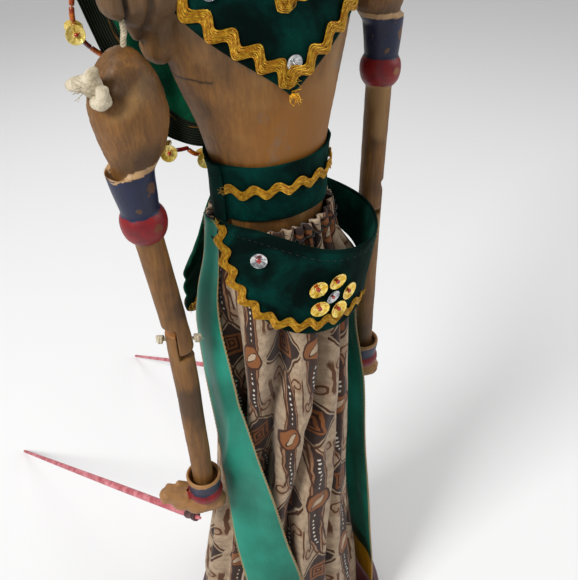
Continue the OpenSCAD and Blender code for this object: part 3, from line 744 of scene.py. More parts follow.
# folds of the sarong: heights, the angle of each fold's valley there, its half width in degrees and its depth
FOLDS = [((320, 276, 230, 150, 28), (206, 205, 203, 190, 178), 7, 7.0),
         ((320, 262, 237, 224, 207, 185, 161, 120, 60, 28),
        (252, 246, 242, 235.5, 231, 225, 216.6, 205, 196, 192), 8, 10.5),
         ((320, 253, 216, 205, 191, 175, 161, 143, 128, 60, 28),
        (288, 285, 275.5, 267, 264, 259, 256, 250, 248, 242, 238), 6, 9.0),
         ((320, 250, 200, 150, 100, 28), (309, 309, 303, 293, 286, 282), 4, 4.0),
         ((320, 200, 120, 28), (334, 333, 326, 318), 5, 5.0), ((320, 180, 28), (360, 356, 350), 7, 6.0),
         ((320, 180, 28), (30, 26, 22), 7, 6.5), ((320, 180, 28), (62, 60, 56), 8, 7.0),
         ((320, 180, 28), (95, 97, 95), 7, 6.5), ((320, 180, 28), (128, 128, 130), 8, 7.0),
         ((320, 180, 28), (160, 158, 158), 6, 6.0)]


TAIL_TOP, TAIL_FOOT = 322, 248


def unit(v):
    return v / (np.linalg.norm(v, axis=-1, keepdims=True) + 1e-12)


def torso_at(a, z, o=0.0):
    """Place on the torso at angle a and height z, o outside its surface."""
    t = rad(a)
    x = (column(TORSO, z, 1) + o) * cos(t)
    y = (where(sin(t) < 0, column(TORSO, z, 2), column(TORSO, z, 3)) + o) * sin(t)
    return stack(np.broadcast_arrays(x, y, z + 0.15 * x * smooth01((z - BELT_TOP) / 50)
                                     * (1 - smooth01((z - 432) / 15))), -1)


def torso_out(a, z):
    """Outward direction of the torso's surface."""
    return unit(cross(torso_at(a + 1, z) - torso_at(a - 1, z), torso_at(a, z + 0.5) - torso_at(a, z - 0.5)))


def sarong_at(a, z, o=0.0):
    """Place on the sarong's plain cone at angle a and height z, o outside it."""
    t = rad(a)
    return stack(np.broadcast_arrays(column(SARONG, z, 3) + (column(SARONG, z, 1) + o) * cos(t),
                                     column(SARONG, z, 4) + (column(SARONG, z, 2) + o) * sin(t), z + 0 * t),
                 -1)


def wrap_at(a, v, o=0.0):
    """Place on the hip wrap at angle a, from v = 0 at its top edge to 1 at its hem."""
    t = rad(a)
    rx_ = column(WRAP, a, 1) * (1 - v) + column(WRAP, a, 5) * v
    ry_ = column(WRAP, a, 2) * (1 - v) + column(WRAP, a, 6) * v
    z = column(WRAP, a, 3) * (1 - v) + column(WRAP, a, 4) * v
    return stack([(rx_ + o) * cos(t), (ry_ + o) * sin(t), z + 0 * t], -1)


def wrap_out(a, v):
    """Outward direction of the hip wrap's surface."""
    return unit(cross(wrap_at(a + 1, v) - wrap_at(a - 1, v), wrap_at(a, v - 0.05) - wrap_at(a, v + 0.05)))


# the collar: angle of its tip, and angle and height of each sequin
TIP_A = 264.5
COLLAR_SEQUINS = ((266.0, 392.0), (228.0, 423.0), (304.0, 414.0))


def collar_hem(a):
    """Height of the collar's lower edge at angle a."""
    d = abs(a - TIP_A)
    top = where(a < TIP_A, 429, 409)
    return where(d < 78, 379 + (top - 379) * (minimum(d, 78) / 78) ** 0.94,
                 top - (top - 396) * smooth01((d - 78) / 40))


# the cape: half width, and its lower edge, which rises by CAPE_RISE at CAPE_REACH from the middle
CAPE_HALF, CAPE_FOOT, CAPE_RISE, CAPE_REACH, CAPE_POWER = 58.0, 340, 65, 56, 3.4


def cape_x(t):
    """Distance from the middle for t from -1 to 1, closer together at the sides."""
    return CAPE_HALF * np.sign(t) * abs(t) ** 0.55


def cape_y(x, z):
    return 27.5 + 6 * smooth01((abs(x) - 18) / 45) + where(z < 380, (380 - z) * 0.03, 0)


def cape_lo(x):
    return CAPE_FOOT + CAPE_RISE * (abs(x) / CAPE_REACH) ** CAPE_POWER


def cape_hi(x):
    return 437 - 13 * (abs(x) / 62) ** 2 + 0.15 * x


def cape_slope(x):
    """Slope of the cape's lower edge."""
    return np.sign(x) * CAPE_RISE * CAPE_POWER / CAPE_REACH * (abs(x) / CAPE_REACH) ** (CAPE_POWER - 1)


def cape_wave(x):
    return (1.6 * sin(x * 0.21 + 0.6) + 0.7 * sin(x * 0.47)) * 0.9


def area(P):
    """Area of a grid of points, in square metres."""
    a, b, c, d = P[:-1, :-1], P[:-1, 1:], P[1:, 1:], P[1:, :-1]
    return float((np.linalg.norm(cross(b - a, c - a), axis=-1)
                  + np.linalg.norm(cross(c - a, d - a), axis=-1)).sum() / 2) * 1e-6


def grid(a, b):
    """Columns a (round), rows b (rising)."""
    return np.meshgrid(a, b, indexing="xy")


# ---------- trims
def disc_frame(n):
    """Axes of a disc that faces along n, as columns."""
    n = unit(np.asarray(n, float))
    u = unit(cross([0.13, 0.2, 1.0], n))
    return stack([u, cross(n, u), n], -1)


def sequin(p, n, d, turn=0.0, facets=8):
    """A cupped sequin with flat facets round its cup."""
    r = d / 2
    prof = [(0.14, 0.15), (0.34, 0.0), (0.62, 0.28), (0.95, 0.75), (1.0, 0.72), (0.97, 0.60), (0.6, 0.10),
            (0.3, -0.22), (0.14, -0.1)]
    k = facets * 2
    a = linspace(0, 2 * pi, k, endpoint=False) + turn
    V = array([[r * q[0] * cos(t) * (1 + (0.0 if i % 2 else 0.02)), r * q[0] * sin(t),
                r * 0.28 * (q[1] + (0.10 if i % 2 and 0.3 < q[0] < 0.9 else 0))] for q in prof for i,
               t in enumerate(a)])
    f = (quads(len(prof), k, True, flip=True) + [tuple(range(k)),
            tuple((len(prof) - 1) * k + i for i in range(k))[::-1]])
    return place(V, p, disc_frame(n)), f


def bead_geo(p, n, r=1.05):
    """A ring-shaped seed bead at p, facing n."""
    F = disc_frame(n)
    prof = [(0.35, -0.6), (0.8, -0.5), (1, 0), (0.8, 0.5), (0.35, 0.6), (0.3, 0.3), (0.3, -0.3)]
    a = linspace(0, 2 * pi, 14, endpoint=False)
    V = array([[r * q[0] * cos(t), r * q[0] * sin(t), r * q[1]] for q in prof for t in a])
    return place(V, p, F), quads(len(prof), 14, True)


def ricrac(P, N, width, wave, n=5, r=0.42):
    """Parallel gold cords that wave together along a path on a surface."""
    P = np.asarray(P, float)
    d = run(P)
    m = int(d[-1] / 0.55)
    t = linspace(0, d[-1], m)
    Q = stack([np.interp(t, d, P[:, k]) for k in range(3)], -1)
    NN = unit(stack([np.interp(t, d, N[:, k]) for k in range(3)], -1))
    T = unit(np.gradient(Q, axis=0))
    S = unit(cross(NN, T))
    lift = 0.5
    amp = width * 0.21
    band = width * 0.52
    cycles = max(1, round(d[-1] / wave))
    ph = 2 * pi * cycles * t / d[-1] + 0.35 * ripple(t * 0.06, s=int(d[-1]) % 7)
    out = []
    for k in range(n):
        off = (k / (n - 1) - 0.5) * band
        y = amp * sin(ph) + off + 0.10 * ripple(t * 0.5, s=k)
        h = lift + 0.16 * sin(ph * 2 + k * 2.1) + 0.12 * (1 - abs(k - (n - 1) / 2))
        out.append(tube_geo(Q + S * y[:, None] + NN * h[:, None], r, 6))
    # frayed threads at both cut ends
    for e, sgn in ((0, -1), (-1, 1)):
        for _ in range(6):
            st = Q[e] + S[e] * rng.uniform(-1, 1) * band * 0.6 + NN[e] * lift
            L = rng.uniform(1.5, 3.6)
            c = st + T[e] * sgn * L * 0.5 + S[e] * rng.normal() * 0.5 + NN[e] * 0.5
            g = st + T[e] * sgn * L + S[e] * rng.normal() * 1.2 + NN[e] * rng.uniform(0, 0.9)
            out.append(tube_geo(smooth_path([st, c, g], 8), 0.13, 4))
    return out


def thread_fuzz(p, n, count, L, r=0.14, spread=1.0, seed=0):
    """Loose thread ends at p, spread round the direction n."""
    g = np.random.default_rng(seed)
    out = []
    for _ in range(count):
        d = unit(np.asarray(n) + g.normal(size=3) * spread)
        e = unit(d + g.normal(size=3) * 0.8)
        l = L * g.uniform(0.4, 1.1)
        out.append(tube_geo(smooth_path([p, p + d * l * 0.5, p + d * l * 0.6 + e * l * 0.4], 8),
                            linspace(r, r * 0.5, len(smooth_path([p, p + d, p + e], 8))), 4))
    return out


# ---------- carved body
def closed_loft(Rr):
    """A closed solid from rings of points."""
    m, n = Rr.shape[:2]
    return Rr.reshape(-1, 3), quads(m, n, True) + caps(m, n)


def facets(co, no, amp, scale, seed):
    """Shallow flats that a knife leaves."""
    h = ripple(co[:, 0] * scale, co[:, 1] * scale, co[:, 2] * scale * 0.5, s=seed)
    return co + no * ((h * 0.55 + knife(h, 3.2) * 0.8) * amp)[:, None]


BOSS = dict(r=array([-56.5, -8.8, 419.1]), l=array([60, 7.6, 439.5]))


def torso():
    """Carved chest with two shoulder stubs, slits for the cords and a crack."""
    A, Z = grid(arange(0, 360, 6.0), np.r_[arange(300, 440, 2.5), arange(440, 449, 1.5)])
    parts = [closed_loft(torso_at(A, Z))]
    for s, k in (("r", -1), ("l", 1)):
        b = BOSS[s]
        right = k < 0
        root = array([30 * k, 0, 417.5 if right else 426.5])
        low = array([-40, 0, 409.0]) if right else array([41, 1, 429.0])
        arm = array([-41, 1, 398.0]) if right else array([40, 0, 417.0])
        inner = array([-30, 0, 405.0]) if right else array([30, 0, 420.0])
        parts += [capsule(root, b, 12.4, 7.2), capsule(low, b, 7.5, 7.0),
                  capsule(root + [0, 0, 4], b + [k * 1.2, 0, 3], 9, 6.6), capsule(inner, arm, 12, 6.8),
                  capsule(low, arm, 8, 6.6)]
        if right:
            parts.append(capsule(array([-51, -2.5, 416.0]), array([-48, -1.5, 404.5]), 6.2, 3.4))
    def line(co, a, b_):
        co, a, b_ = (np.asarray(q, float)[..., [0, 2]] for q in (co, a, b_))
        t = clip(((co - a) @ (b_ - a)) / ((b_ - a) @ (b_ - a)), 0, 1)
        return np.linalg.norm(co - a - t[:, None] * (b_ - a), axis=1)
    # each slit: its two ends, its half width and its depth
    slits = []
    for s, k in (("r", -1), ("l", 1)):
        b = BOSS[s]
        slits.append((b + [-0.2 * k, 0, 4.5], b + [-0.8 * k, 0, -8], 0.9, 2.4))
        slits.append((b + [-9.2 * k, 0, 1], b + [-7.4 * k, 0, -22], 1.6, 1.8))
    def fn(co, no):
        co = facets(co, no, 0.5, 0.13, 3)
        for s, k in (("r", -1), ("l", 1)):  # flat front on each shoulder stub
            b = BOSS[s]
            m = smooth01((abs(co[:, 0]) - 50) / 3) * (np.sign(co[:, 0]) == k)
            f = b[1] - 5.4
            co[:, 1] = where(m > 0, maximum(co[:, 1], f * m + co[:, 1] * (1 - m)), co[:, 1])
        for a, c, w, dep in slits:
            co[:, 1] += bell(line(co, a, c), w) * (co[:, 1] < -1) * dep
        return co
    def paint(co):
        al = np.zeros(len(co))
        # dark paint in the slits, darker where they are narrow: painted shade in the recesses
        for a, c, w, _ in slits:
            cover = 0.95 if w < 1.5 else 0.55
            al = maximum(al, bell(line(co, a, c), w * 0.8) * cover * (co[:, 1] < -1))
        # a dark painted line along the crack: painted shade of its gap
        crack = [(-38.5, -14, 386.4), (-36.4, -16, 386.5), (-34.4, -17.4, 386.7), (-32.4, -18.8, 386.3)]
        level = np.interp(co[:, 0], [q[0] for q in crack], [q[2] for q in crack])
        mark = bell(co[:, 2] - level - 0.25 * ripple(co[:, 0] * 1.1, s=5), 0.42)
        for a, c in zip(crack, crack[1:]):
            al = maximum(al, (line(co, a, c) < 3.2) * mark)
        return np.tile(array(linear("120b07")), (len(co), 1)), al
    return remesh("torso_carved", parts, M["torso"], "body", "torso", 0.7, 3, fn, paint)


# ---------- head
HEADROWS = [[0, 7, 9], [0.05, 12, 14], [0.14, 16.5, 20], [0.28, 20.5, 25.5], [0.45, 23, 28.5],
            [0.6, 24.5, 30], [0.75, 24, 29.5], [0.87, 19, 24.5], [0.95, 12, 16], [1, 4, 6]]


def head_at(a, u):
    """Place on the bare head at angle a, from u = 0 at the chin to 1 at the crown."""
    t = rad(a)
    return stack(np.broadcast_arrays(column(HEADROWS, u, 1) * cos(t),
                                     column(HEADROWS, u, 2) * sin(t) - 4 * (1 - smooth01(u * 1.6)),
                                     CHIN + u * HEAD_H + 0 * t), -1)


def spot(x, y, x0, y0, sx, sy):
    """A round bump of height 1 at (x0, y0)."""
    return exp(-(((x - x0) / sx) ** 2 + ((y - y0) / sy) ** 2))


def head():
    """A calm, plain face: heights and colours are functions of the place on the front."""
    A, U = grid(np.r_[arange(-90, 190, 4.0), arange(190, 350, 0.62)],
                np.r_[0.002, linspace(0.012, 0.72, 190), linspace(0.73, 1, 16)])
    A = np.sort(np.mod(A, 360), axis=1)
    P0 = head_at(A, U)
    x, y, z = P0[..., 0], P0[..., 1], P0[..., 2] - CHIN
    front = smooth01((-y - 3) / 8)
    ax = abs(x)
    h = np.zeros_like(x)
    # nose: ridge, tip, nostrils
    ridge = clip((z - 23) / 20, 0, 1)
    nose = bell(ax, 3.1 - 1.2 * ridge) * smooth01((z - 20.5) / 4.2) * smooth01((46 - z) / 16)
    h += front * 6.9 * nose * (1 - 0.45 * ridge)
    h += front * 2.6 * spot(ax, z, 3.7, 24.4, 1.9, 2.2) - front * 1.3 * spot(ax, z, 2.3, 21.4, 1.0, 0.8)
    # brow ridge, eye sockets, lids, ball
    arch = 42.5 - 0.028 * (ax - 9) ** 2
    h += front * 1.5 * bell(z - arch, 2.4) * smooth01((17 - ax) / 5) * smooth01((ax - 1) / 3)
    h -= front * 2.0 * spot(ax, z, 9.6, 36.6, 6.2, 3.4)
    el = (ax - 9.6) / 5.6
    up = 1 - el ** 2
    lid_t = 36.4 + 2.15 * clip(up, 0, 1) ** 0.7 + 0.55 * el
    lid_b = 36.0 - 1.5 * clip(up, 0, 1) ** 0.8 + 0.55 * el
    opening = (abs(el) < 1) & (z < lid_t) & (z > lid_b)
    h += front * 2.2 * spot(ax, z, 9.6, 36.4, 4.9, 2.7)
    h += (front * 0.75 * bell(z - lid_t - 0.35, 0.55) * (abs(el) < 1.1)
          + front * 0.5 * bell(z - lid_b + 0.3, 0.5) * (abs(el) < 1.05))
    # cheeks, mouth, chin
    h += (front * 1.3 * spot(ax, z, 12.5, 24.5, 6, 7) + front * 1.6 * spot(ax, z, 0, 14.5, 9, 6.5)
          + front * 1.9 * spot(ax, z, 0, 4.5, 6, 4.5) - front * 0.9 * spot(ax, z, 0, 9.1, 6, 1.3))
    mc = 14.2 + 0.012 * ax ** 2 * 1.5
    w = clip(1 - (ax / 7.2) ** 2, 0, 1)
    top = mc + 2.1 * w ** 0.8 - 0.65 * bell(ax, 1.3)
    bot = mc - 2.5 * w ** 0.7
    lips = (ax < 7.2) & (z < top) & (z > bot)
    h += (front * 1.25 * bell(z - mc - 0.95, 0.95) * w + front * 1.45 * bell(z - mc + 1.15, 1.05) * w
          - front * 1.3 * bell(z - mc, 0.32) * clip(1 - (ax / 7.6) ** 4, 0, 1))
    h -= front * 0.7 * spot(ax, z, 0, 18.4, 1.0, 1.7)
    n = unit(stack([x / 24 ** 2, y / 29 ** 2, 0 * x], -1))
    n = unit(n + array([0, 0, 1]) * ((z - 30) / 90)[..., None])
    P = P0 + n * h[..., None]
    # paint
    c = np.zeros(x.shape + (4,))
    def put(mask, col):
        mask = clip(mask, 0, 1)[..., None]
        c[..., :3] = c[..., :3] * (1 - mask) + array(linear(col)) * mask
        c[..., 3:] = maximum(c[..., 3:], mask)
    f = (front > 0.5) * 1.0
    put(f * opening, "ddd0b0")
    put(f * opening * (((ax - 9.3) ** 2 + (z - 36.2) ** 2) < 2.05 ** 2), "17110f")
    put(f * (abs(el) < 1.25) * (abs(z - lid_t - 0.1) < 0.5), "1b1312")
    put(f * (abs(el) < 1.0) * (abs(z - lid_b) < 0.26), "2a1b17")
    put(f * (abs(z - (arch + 0.2)) < 0.95 * clip(1 - ((ax - 9.5) / 8.4) ** 2, 0, 1)) * (ax > 1.6), "1d1413")
    put(f * lips, "8c1420")
    put(f * (abs(z - mc) < 0.3) * (ax < 7.3), "3c0a10")
    hair = smooth01((y + 1.5 + 0.25 * (z - 40)) / 1.0) * (z > 8) * (z < 60)
    hair = maximum(hair, smooth01((z - 47.2 - 0.012 * ax ** 2) / 0.6))
    put(hair, "16100f")
    m, k = P.shape[:2]
    Q = np.vstack([P.reshape(-1, 3), [[0, -4, CHIN - 0.6]], [[0, 0, CHIN + HEAD_H]]])
    o = obj("head_carved", Q, quads(m, k, True) + poles(m, k), M["face"], None)
    C = np.vstack([c.reshape(-1, 4), [[0, 0, 0, 0]], [[0, 0, 0, 1]]])
    set_paint(o, C[:, :3], C[:, 3])
    attach(o, "head", "head")
    # neck with turned rings, and the ears
    neck = [(12, 449), (12.9, 450), (12.4, 451.6), (11.0, 452.6), (10.4, 454), (10.9, 455), (10.4, 456.2),
            (9.9, 458), (10.4, 459), (9.9, 460.2), (9.7, 463), (10.2, 468), (12, 476), (11, 480)]
    lathe("neck", neck, M["face"], "head", slot="carved_wood", n=48)
    for s in (-1, 1):
        sp_ = [(s * 23.8, 1, CHIN + 20), (s * 25.2, 2.2, CHIN + 23), (s * 26.2, 5.4, CHIN + 30),
               (s * 26.4, 7.6, CHIN + 37), (s * 26.3, 6.2, CHIN + 41), (s * 25.4, 1.8, CHIN + 41.5),
               (s * 24.2, -1.4, CHIN + 37.5), (s * 23.6, -0.8, CHIN + 33)]
        rim = tube_geo(smooth_path(sp_, 40), 1.25, 10)[:2]
        inner = tube_geo(smooth_path([(s * 24.4, 3.4, CHIN + 39), (s * 25, 4.8, CHIN + 34),
                                      (s * 24.2, 3.4, CHIN + 28), (s * 23.2, 0.4, CHIN + 25.5)], 24), 0.9,
                         8)[:2]
        lobe = ball((s * 24.2, 1.0, CHIN + 20.6), 2.6, 16, (0.7, 1, 1.1))
        dish = ball((s * 23.0, 2.8, CHIN + 31), 7, 20, (0.28, 0.8, 1.45))
        remesh("ear_" + ("r" if s < 0 else "l"), [rim, inner, lobe, dish], M["face"], "head",
               voxel=0.4, smooth=3)
    return o


def dress_at(a, u, o=0.0):
    """Place on the headdress at angle a and height share u, o outside it."""
    k = smooth01((u - 0.66) / 0.54)
    w = maximum(0, 1 - (maximum(0, (u - 0.66) / 0.54)) ** 2.2)
    t = rad(a)
    return stack(np.broadcast_arrays((7 + 20.4 * w + o) * cos(t), (8 + 24.8 * w + o) * sin(t),
                                     CHIN + HEAD_H * u - 5 * (1 - k) * sin(t)), -1)


def headdress():
    """Carved crown with beads, leaves and ribs, its finial and the ear ornaments."""
    A, U = grid(arange(0, 360, 1.0), linspace(0.66, 1.2, 110))
    k = (U - 0.66) / 0.54
    t = rad(A)
    h = 0.9 * bell(k - 0.03, 0.02) + 0.9 * bell(k - 0.17, 0.018) + 0.7 * bell(k - 0.56, 0.02)
    bandm = smooth01((k - 0.045) / 0.015) * smooth01((0.155 - k) / 0.015)
    # row of beads
    h += bandm * 0.9 * maximum(0, sin(t * 26)) ** 0.6 * sqrt(clip(1 - ((k - 0.10) / 0.052) ** 2, 0, 1))
    pet = smooth01((k - 0.19) / 0.02) * smooth01((0.54 - k) / 0.02)
    ph = abs(((A / 20) % 1) - 0.5) * 2
    tip = 0.22 + 0.28 * (1 - ph ** 2) ** 0.6
    h += pet * (0.9 * smooth01((tip - k) / 0.02) + 0.5 * bell(k - tip, 0.016)
                - 0.4 * bell(ph, 0.1) * (k < tip))
    h += smooth01((k - 0.58) / 0.02) * 0.55 * abs(sin(t * 9 + (k - 0.58) * 9))
    P = dress_at(A, U, h - 0.4)
    c = np.zeros(A.shape + (4,))
    c[..., :3] = linear("7a1024")
    c[..., 3] = ((k < tip - 0.03) & (ph > 0.22) & (pet > 0.5) & (k > 0.235)) * 1.0
    green = ((k > 0.6) & (abs(sin(t * 9 + (k - 0.58) * 9)) > 0.72))
    c[green, :3] = linear("0e4a38")
    c[green, 3] = 1.0
    P = np.concatenate([dress_at(A[:1], U[:1], -1.8), P], 0)
    c = np.concatenate([c[:1], c], 0)
    o = obj("headdress_carved", P, quads(*P.shape[:2], True), crown_painted(), None)
    set_paint(o, c.reshape(-1, 4)[:, :3], c.reshape(-1, 4)[:, 3])
    attach(o, "head", "headdress")
    z0 = CHIN + HEAD_H * 1.2 + 0.4
    prof = [(0.1, -1), (7.2, -1), (7.6, 0.6), (6.6, 1.6), (7.4, 2.4), (5.4, 4.2), (4.6, 5.6), (4.5, 7),
            (5.6, 8.8), (7.0, 11), (7.5, 13.6), (7.1, 16), (5.5, 19), (3.4, 21), (2.4, 22.4), (2.6, 23.4),
            (1.7, 24.6), (1.2, 27), (0.4, 28), (0.05, 28.2)]
    lathe("crown_finial", prof, M["crimson"], "head", "crown_knob", "crown_paint", n=48, at=(0, 0, z0))
    for s, nm in ((-1, "r"), (1, "l")):
        c0 = array([s * 28.4, 3, CHIN + 15])
        F = array([[0, 0, s], [0, 1, 0], [-s, 0, 0]], float)
        V = [lathe_geo([(0.05, 0), (4.6, 0), (5.6, 1), (5.3, 1.9), (4.4, 2.3), (3.8, 1.9), (2.6, 2.4),
                        (2.2, 3.4), (1.6, 4.4), (0.05, 5)], 40, c0, F)]
        V += [ball(c0 + F @ [4.7 * math.cos(t), 4.7 * math.sin(t), 2.2], 0.72, 10)
              for t in linspace(0, 2 * pi, 14, endpoint=False)]
        add("ear_flower_" + nm, V, M["crown"], "head", "ear_ornament_" + nm, "crown_paint")
        add("ear_hook_" + nm, [ball(c0 + array([0, 0, 5.6]), 1.4, 12),
                               tube_geo(array([[s * 26.4, 2, CHIN + 21.4], [s * 27.6, 2.6, CHIN + 20]]),
                0.5, 6)[:2]], M["crown"], "head", slot="crown_paint")


def crown_painted():
    m = Mat("crown_painted", rough=0.38, metal=0.6)
    n = m.noise(m.coord(), 180, 4, 0.6)
    col, al, _ = m.attr("paint")
    m.set("Base Color", m.mix(al, m.mix(n.band(0.35, 0.7), linear("8a5f14"), linear("d6a235")), col))
    m.set("Metallic", al * -0.55 + 0.6)
    m.bump(n, 0.3, 0.0004)
    return m.m


# ---------- costume
def collar():
    """V-shaped velvet collar with two rows of braid and three sequins."""
    A, V = grid(arange(0, 360, 1.5), linspace(0, 1, 44))
    z0 = minimum(collar_hem(where(A < 90, A + 360, A)), 430.0)
    Z = z0 + (445.0 - z0) * V
    P = torso_at(A, Z, 1.9)
    n = torso_out(A, Z)
    t = rad(A)
    w = (0.35 * ripple(P[..., 0] * 0.12, P[..., 2] * 0.16, P[..., 1] * 0.12, s=5)
         + 0.25 * ripple(P[..., 0] * 0.3, P[..., 2] * 0.3, s=6))
    P = P + n * (w * smooth01(V * 3) + 0.25)[..., None]
    uv = stack([t / (2 * pi) * 0.2, Z * MM], -1)
    o = sheet_mesh("collar_velvet", P, M["velvet"], "body", "collar", uv, wrap=True, thick=1.1,
                   mats=[M["velvet"], M["lining"]])
    a = area(np.concatenate([P, P[:, :1]], 1))
    for nm, node, dd, off, wd in (("collar_ricrac", "collar_braid", 72, 6.6, 9.2),
                                  ("collar_inner_ricrac", "collar_inner_braid", 40, 33.5, 8.2)):
        parts = []
        # two lengths that cross at the tip
        for lo, hi in ((TIP_A - dd, TIP_A + 0.6), (TIP_A - 0.6, TIP_A + dd)):
            aa = linspace(lo, hi, 90)
            zz = collar_hem(aa) + off
            parts += ricrac(torso_at(aa, zz, 2.5 + (0.6 if lo > 260 else 0)), torso_out(aa, zz), wd, 10.2,
                            7, 0.36)
        add(nm, parts, M["braid"], "body", node, "gold_braid", uv=True)
    add("collar_sequin_discs", [sequin(torso_at(q, z, 2.9), torso_out(q, z), 6.2, facets=10) for q,
                                z in COLLAR_SEQUINS], M["silver"], "body", "collar_sequins",
        "silver_sequin", smooth=False)
    add("collar_seed_beads", [bead_geo(torso_at(q, z, 3.4), torso_out(q, z), 0.7) for q,
                              z in COLLAR_SEQUINS], M["silver"], "body", slot="silver_sequin")
    # ragged thread ends under the tip
    tipp = torso_at(array([TIP_A]), array([380.0]), 1.6)[0]
    add("collar_tip_threads", thread_fuzz(tipp, (0.45, -0.35, -0.8), 22, 6.5, 0.2, 0.4, 3), M["braid"],
        "body", slot="gold_braid")


def cape():
    """Cape behind the shoulders, with a bead string and sequins on its lower edge."""
    T, V = grid(linspace(1, -1, 110), linspace(0, 1, 50))
    X_ = cape_x(T)
    lo = cape_lo(X_)
    hi = cape_hi(X_)
    Z = lo + (hi - lo) * V
    Y = cape_y(X_, Z)
    Y = Y + 1.2 + (1 - V) * cape_wave(X_)
    P = stack([X_, Y, Z], -1)
    # how far inside the lower edge
    depth = (Z - lo) / sqrt(1 + cape_slope(X_) ** 2)
    s_ = run(P[0])
    uv = stack([np.tile(s_ * MM, (P.shape[0], 1)), depth * MM], -1)
    # the cape's face is the darker velvet copy: painted shade
    o = sheet_mesh("cape_velvet", P, M["velvet"], "body", "cape", uv, thick=1.2,
                   mats=[M["velvet_shaded"], M["hem"]], back=1)
    area(P) * 1.02
    # braid on its outer face, beads and dangling sequins along the lower edge
    def edge(t, d, dy):
        x = cape_x(t)
        g = cape_slope(x)
        k = d / sqrt(1 + g * g)
        z = cape_lo(x)
        return stack([x + g * k, cape_y(x, z) + dy + 0 * k, z - k], -1)
    t = linspace(0.985, -0.985, 160)
    Q = edge(t, -5.0, 1.7)
    Q[:, 1] += cape_wave(Q[:, 0])
    add("cape_ricrac", ricrac(Q, np.tile([0, 1.0, 0], (len(t), 1)), 6.6, 10, 6, 0.44), M["braid"], "body",
        slot="gold_braid", uv=True)
    t = linspace(-1, 1, 600)
    path = edge(t, 1.0 + (2.2 + 3.0 * abs(t)) * abs(sin(rad(900 * t))), -2.0)
    string = obj("bead_string", *tube_geo(path, 0.3, 6)[:2], M["braid"], "body", "cape_beads", "amber_bead")
    L = float(np.linalg.norm(np.diff(path, axis=0), axis=1).sum())
    n = int(L / 5.6)
    Q = resample(path, n * 12 + 1)
    tubes, rounds = [], []
    for i in range(n):
        seg = Q[12 * i:12 * i + 12]
        if i % 4 == 3:
            rounds.append(tube_geo(seg, 0.95, 9)[:2])
        else:
            tubes.append(tube_geo(seg[:12], np.r_[0.85, np.full(10, 1.05), 0.85], 9)[:2])
    tb = add("amber_tubes", tubes, M["amber"], "body", slot="amber_bead")
    rd = add("dark_red_tubes", rounds, M["redamber"], "body", slot="amber_bead")
    tuple(path[0] * MM)
    [tuple(p) for p in path * MM]
    sq, th = [], []
    for k in (-0.9, -0.7, -0.5, -0.3, -0.1, 0.1, 0.3, 0.5, 0.7, 0.9):
        top = edge(np.float64(k), 2.6 + 2.6 * abs(k), -2.4)
        p = edge(np.float64(k), 4.9 + 2.6 * abs(k), -4.0)
        q = p + [0.5, 2.6, 1.6]
        sq += [sequin(p, (0.3 * math.sin(9 * k), -1, 0.25), 7.4, turn=k),
               sequin(q, (0.5 * math.cos(7 * k), 1, 0.5), 7.0, turn=k * 3)]
        th += [tube_geo(smooth_path([top, (top + p) / 2 + [0.8, -1, 0.4], p + [0, -1.1, 0.2]], 14), 0.22,
                        5)[:2], ball(p + [0, -0.9, 0.2], 0.8, 10)]
    add("cape_sequin_cups", sq, M["palegold"], "body", "cape_sequins", "gold_sequin", smooth=False)
    add("cape_sequin_threads", th, M["bead"], "body", slot="red_bead")


def belt():
    """Velvet waist belt, lapped at the right hip, with one wave of braid."""
    A, Z = grid(arange(-166, 201, 1.6), linspace(BELT_TOP - BELT_H, BELT_TOP, 30))
    V = (Z - (BELT_TOP - BELT_H)) / BELT_H
    over = smooth01((A - 172) / 14)  # the end laps over the start at the right hip
    w = 0.3 * ripple(cos(rad(A)) * 3, sin(rad(A)) * 3, Z * 0.05, s=8) + 0.5 * bell(A - 178, 3.0) * V
    P = torso_at(np.mod(A, 360), Z, 1.5)
    P = (P + torso_out(np.mod(A, 360), Z) * (w + 1.3 * over + 0.5 * maximum(0, V - 0.85) / 0.15 * 0.6)[...,
            None])
    P[..., 2] += over * (V - 0.5) * 2 - 0.5 * over
    uv = stack([rad(A) * 23 * MM, Z * MM], -1)
    o = sheet_mesh("belt_velvet", P, M["velvet"], "body", "waist_belt", uv, thick=1.0)
    area(P) / 0.0255
    a = linspace(203, 357, 150)
    z = BELT_TOP - BELT_H * 0.42 + 0.4 * sin(rad(a * 3))
    aa = np.mod(a, 360)
    add("belt_ricrac", ricrac(torso_at(aa, z, 2.5), torso_out(aa, z), 7.0, 9.6, 6, 0.34), M["braid"],
        "body", "belt_braid", "gold_braid", uv=True)
    a0 = torso_at(array([352.0]), array([BELT_TOP - 3.0]), 3.2)[0]
    P_ = smooth_path([a0, a0 + [-0.5, -1.2, -6], a0 + [-3.5, -2, -11], a0 + [-8, -2.4, -14]], 30)
    v, f, _ = tube_geo(P_, 0.17, 5)
    obj("belt_loose_thread", v, f, M["braid"], "body", slot="gold_braid")


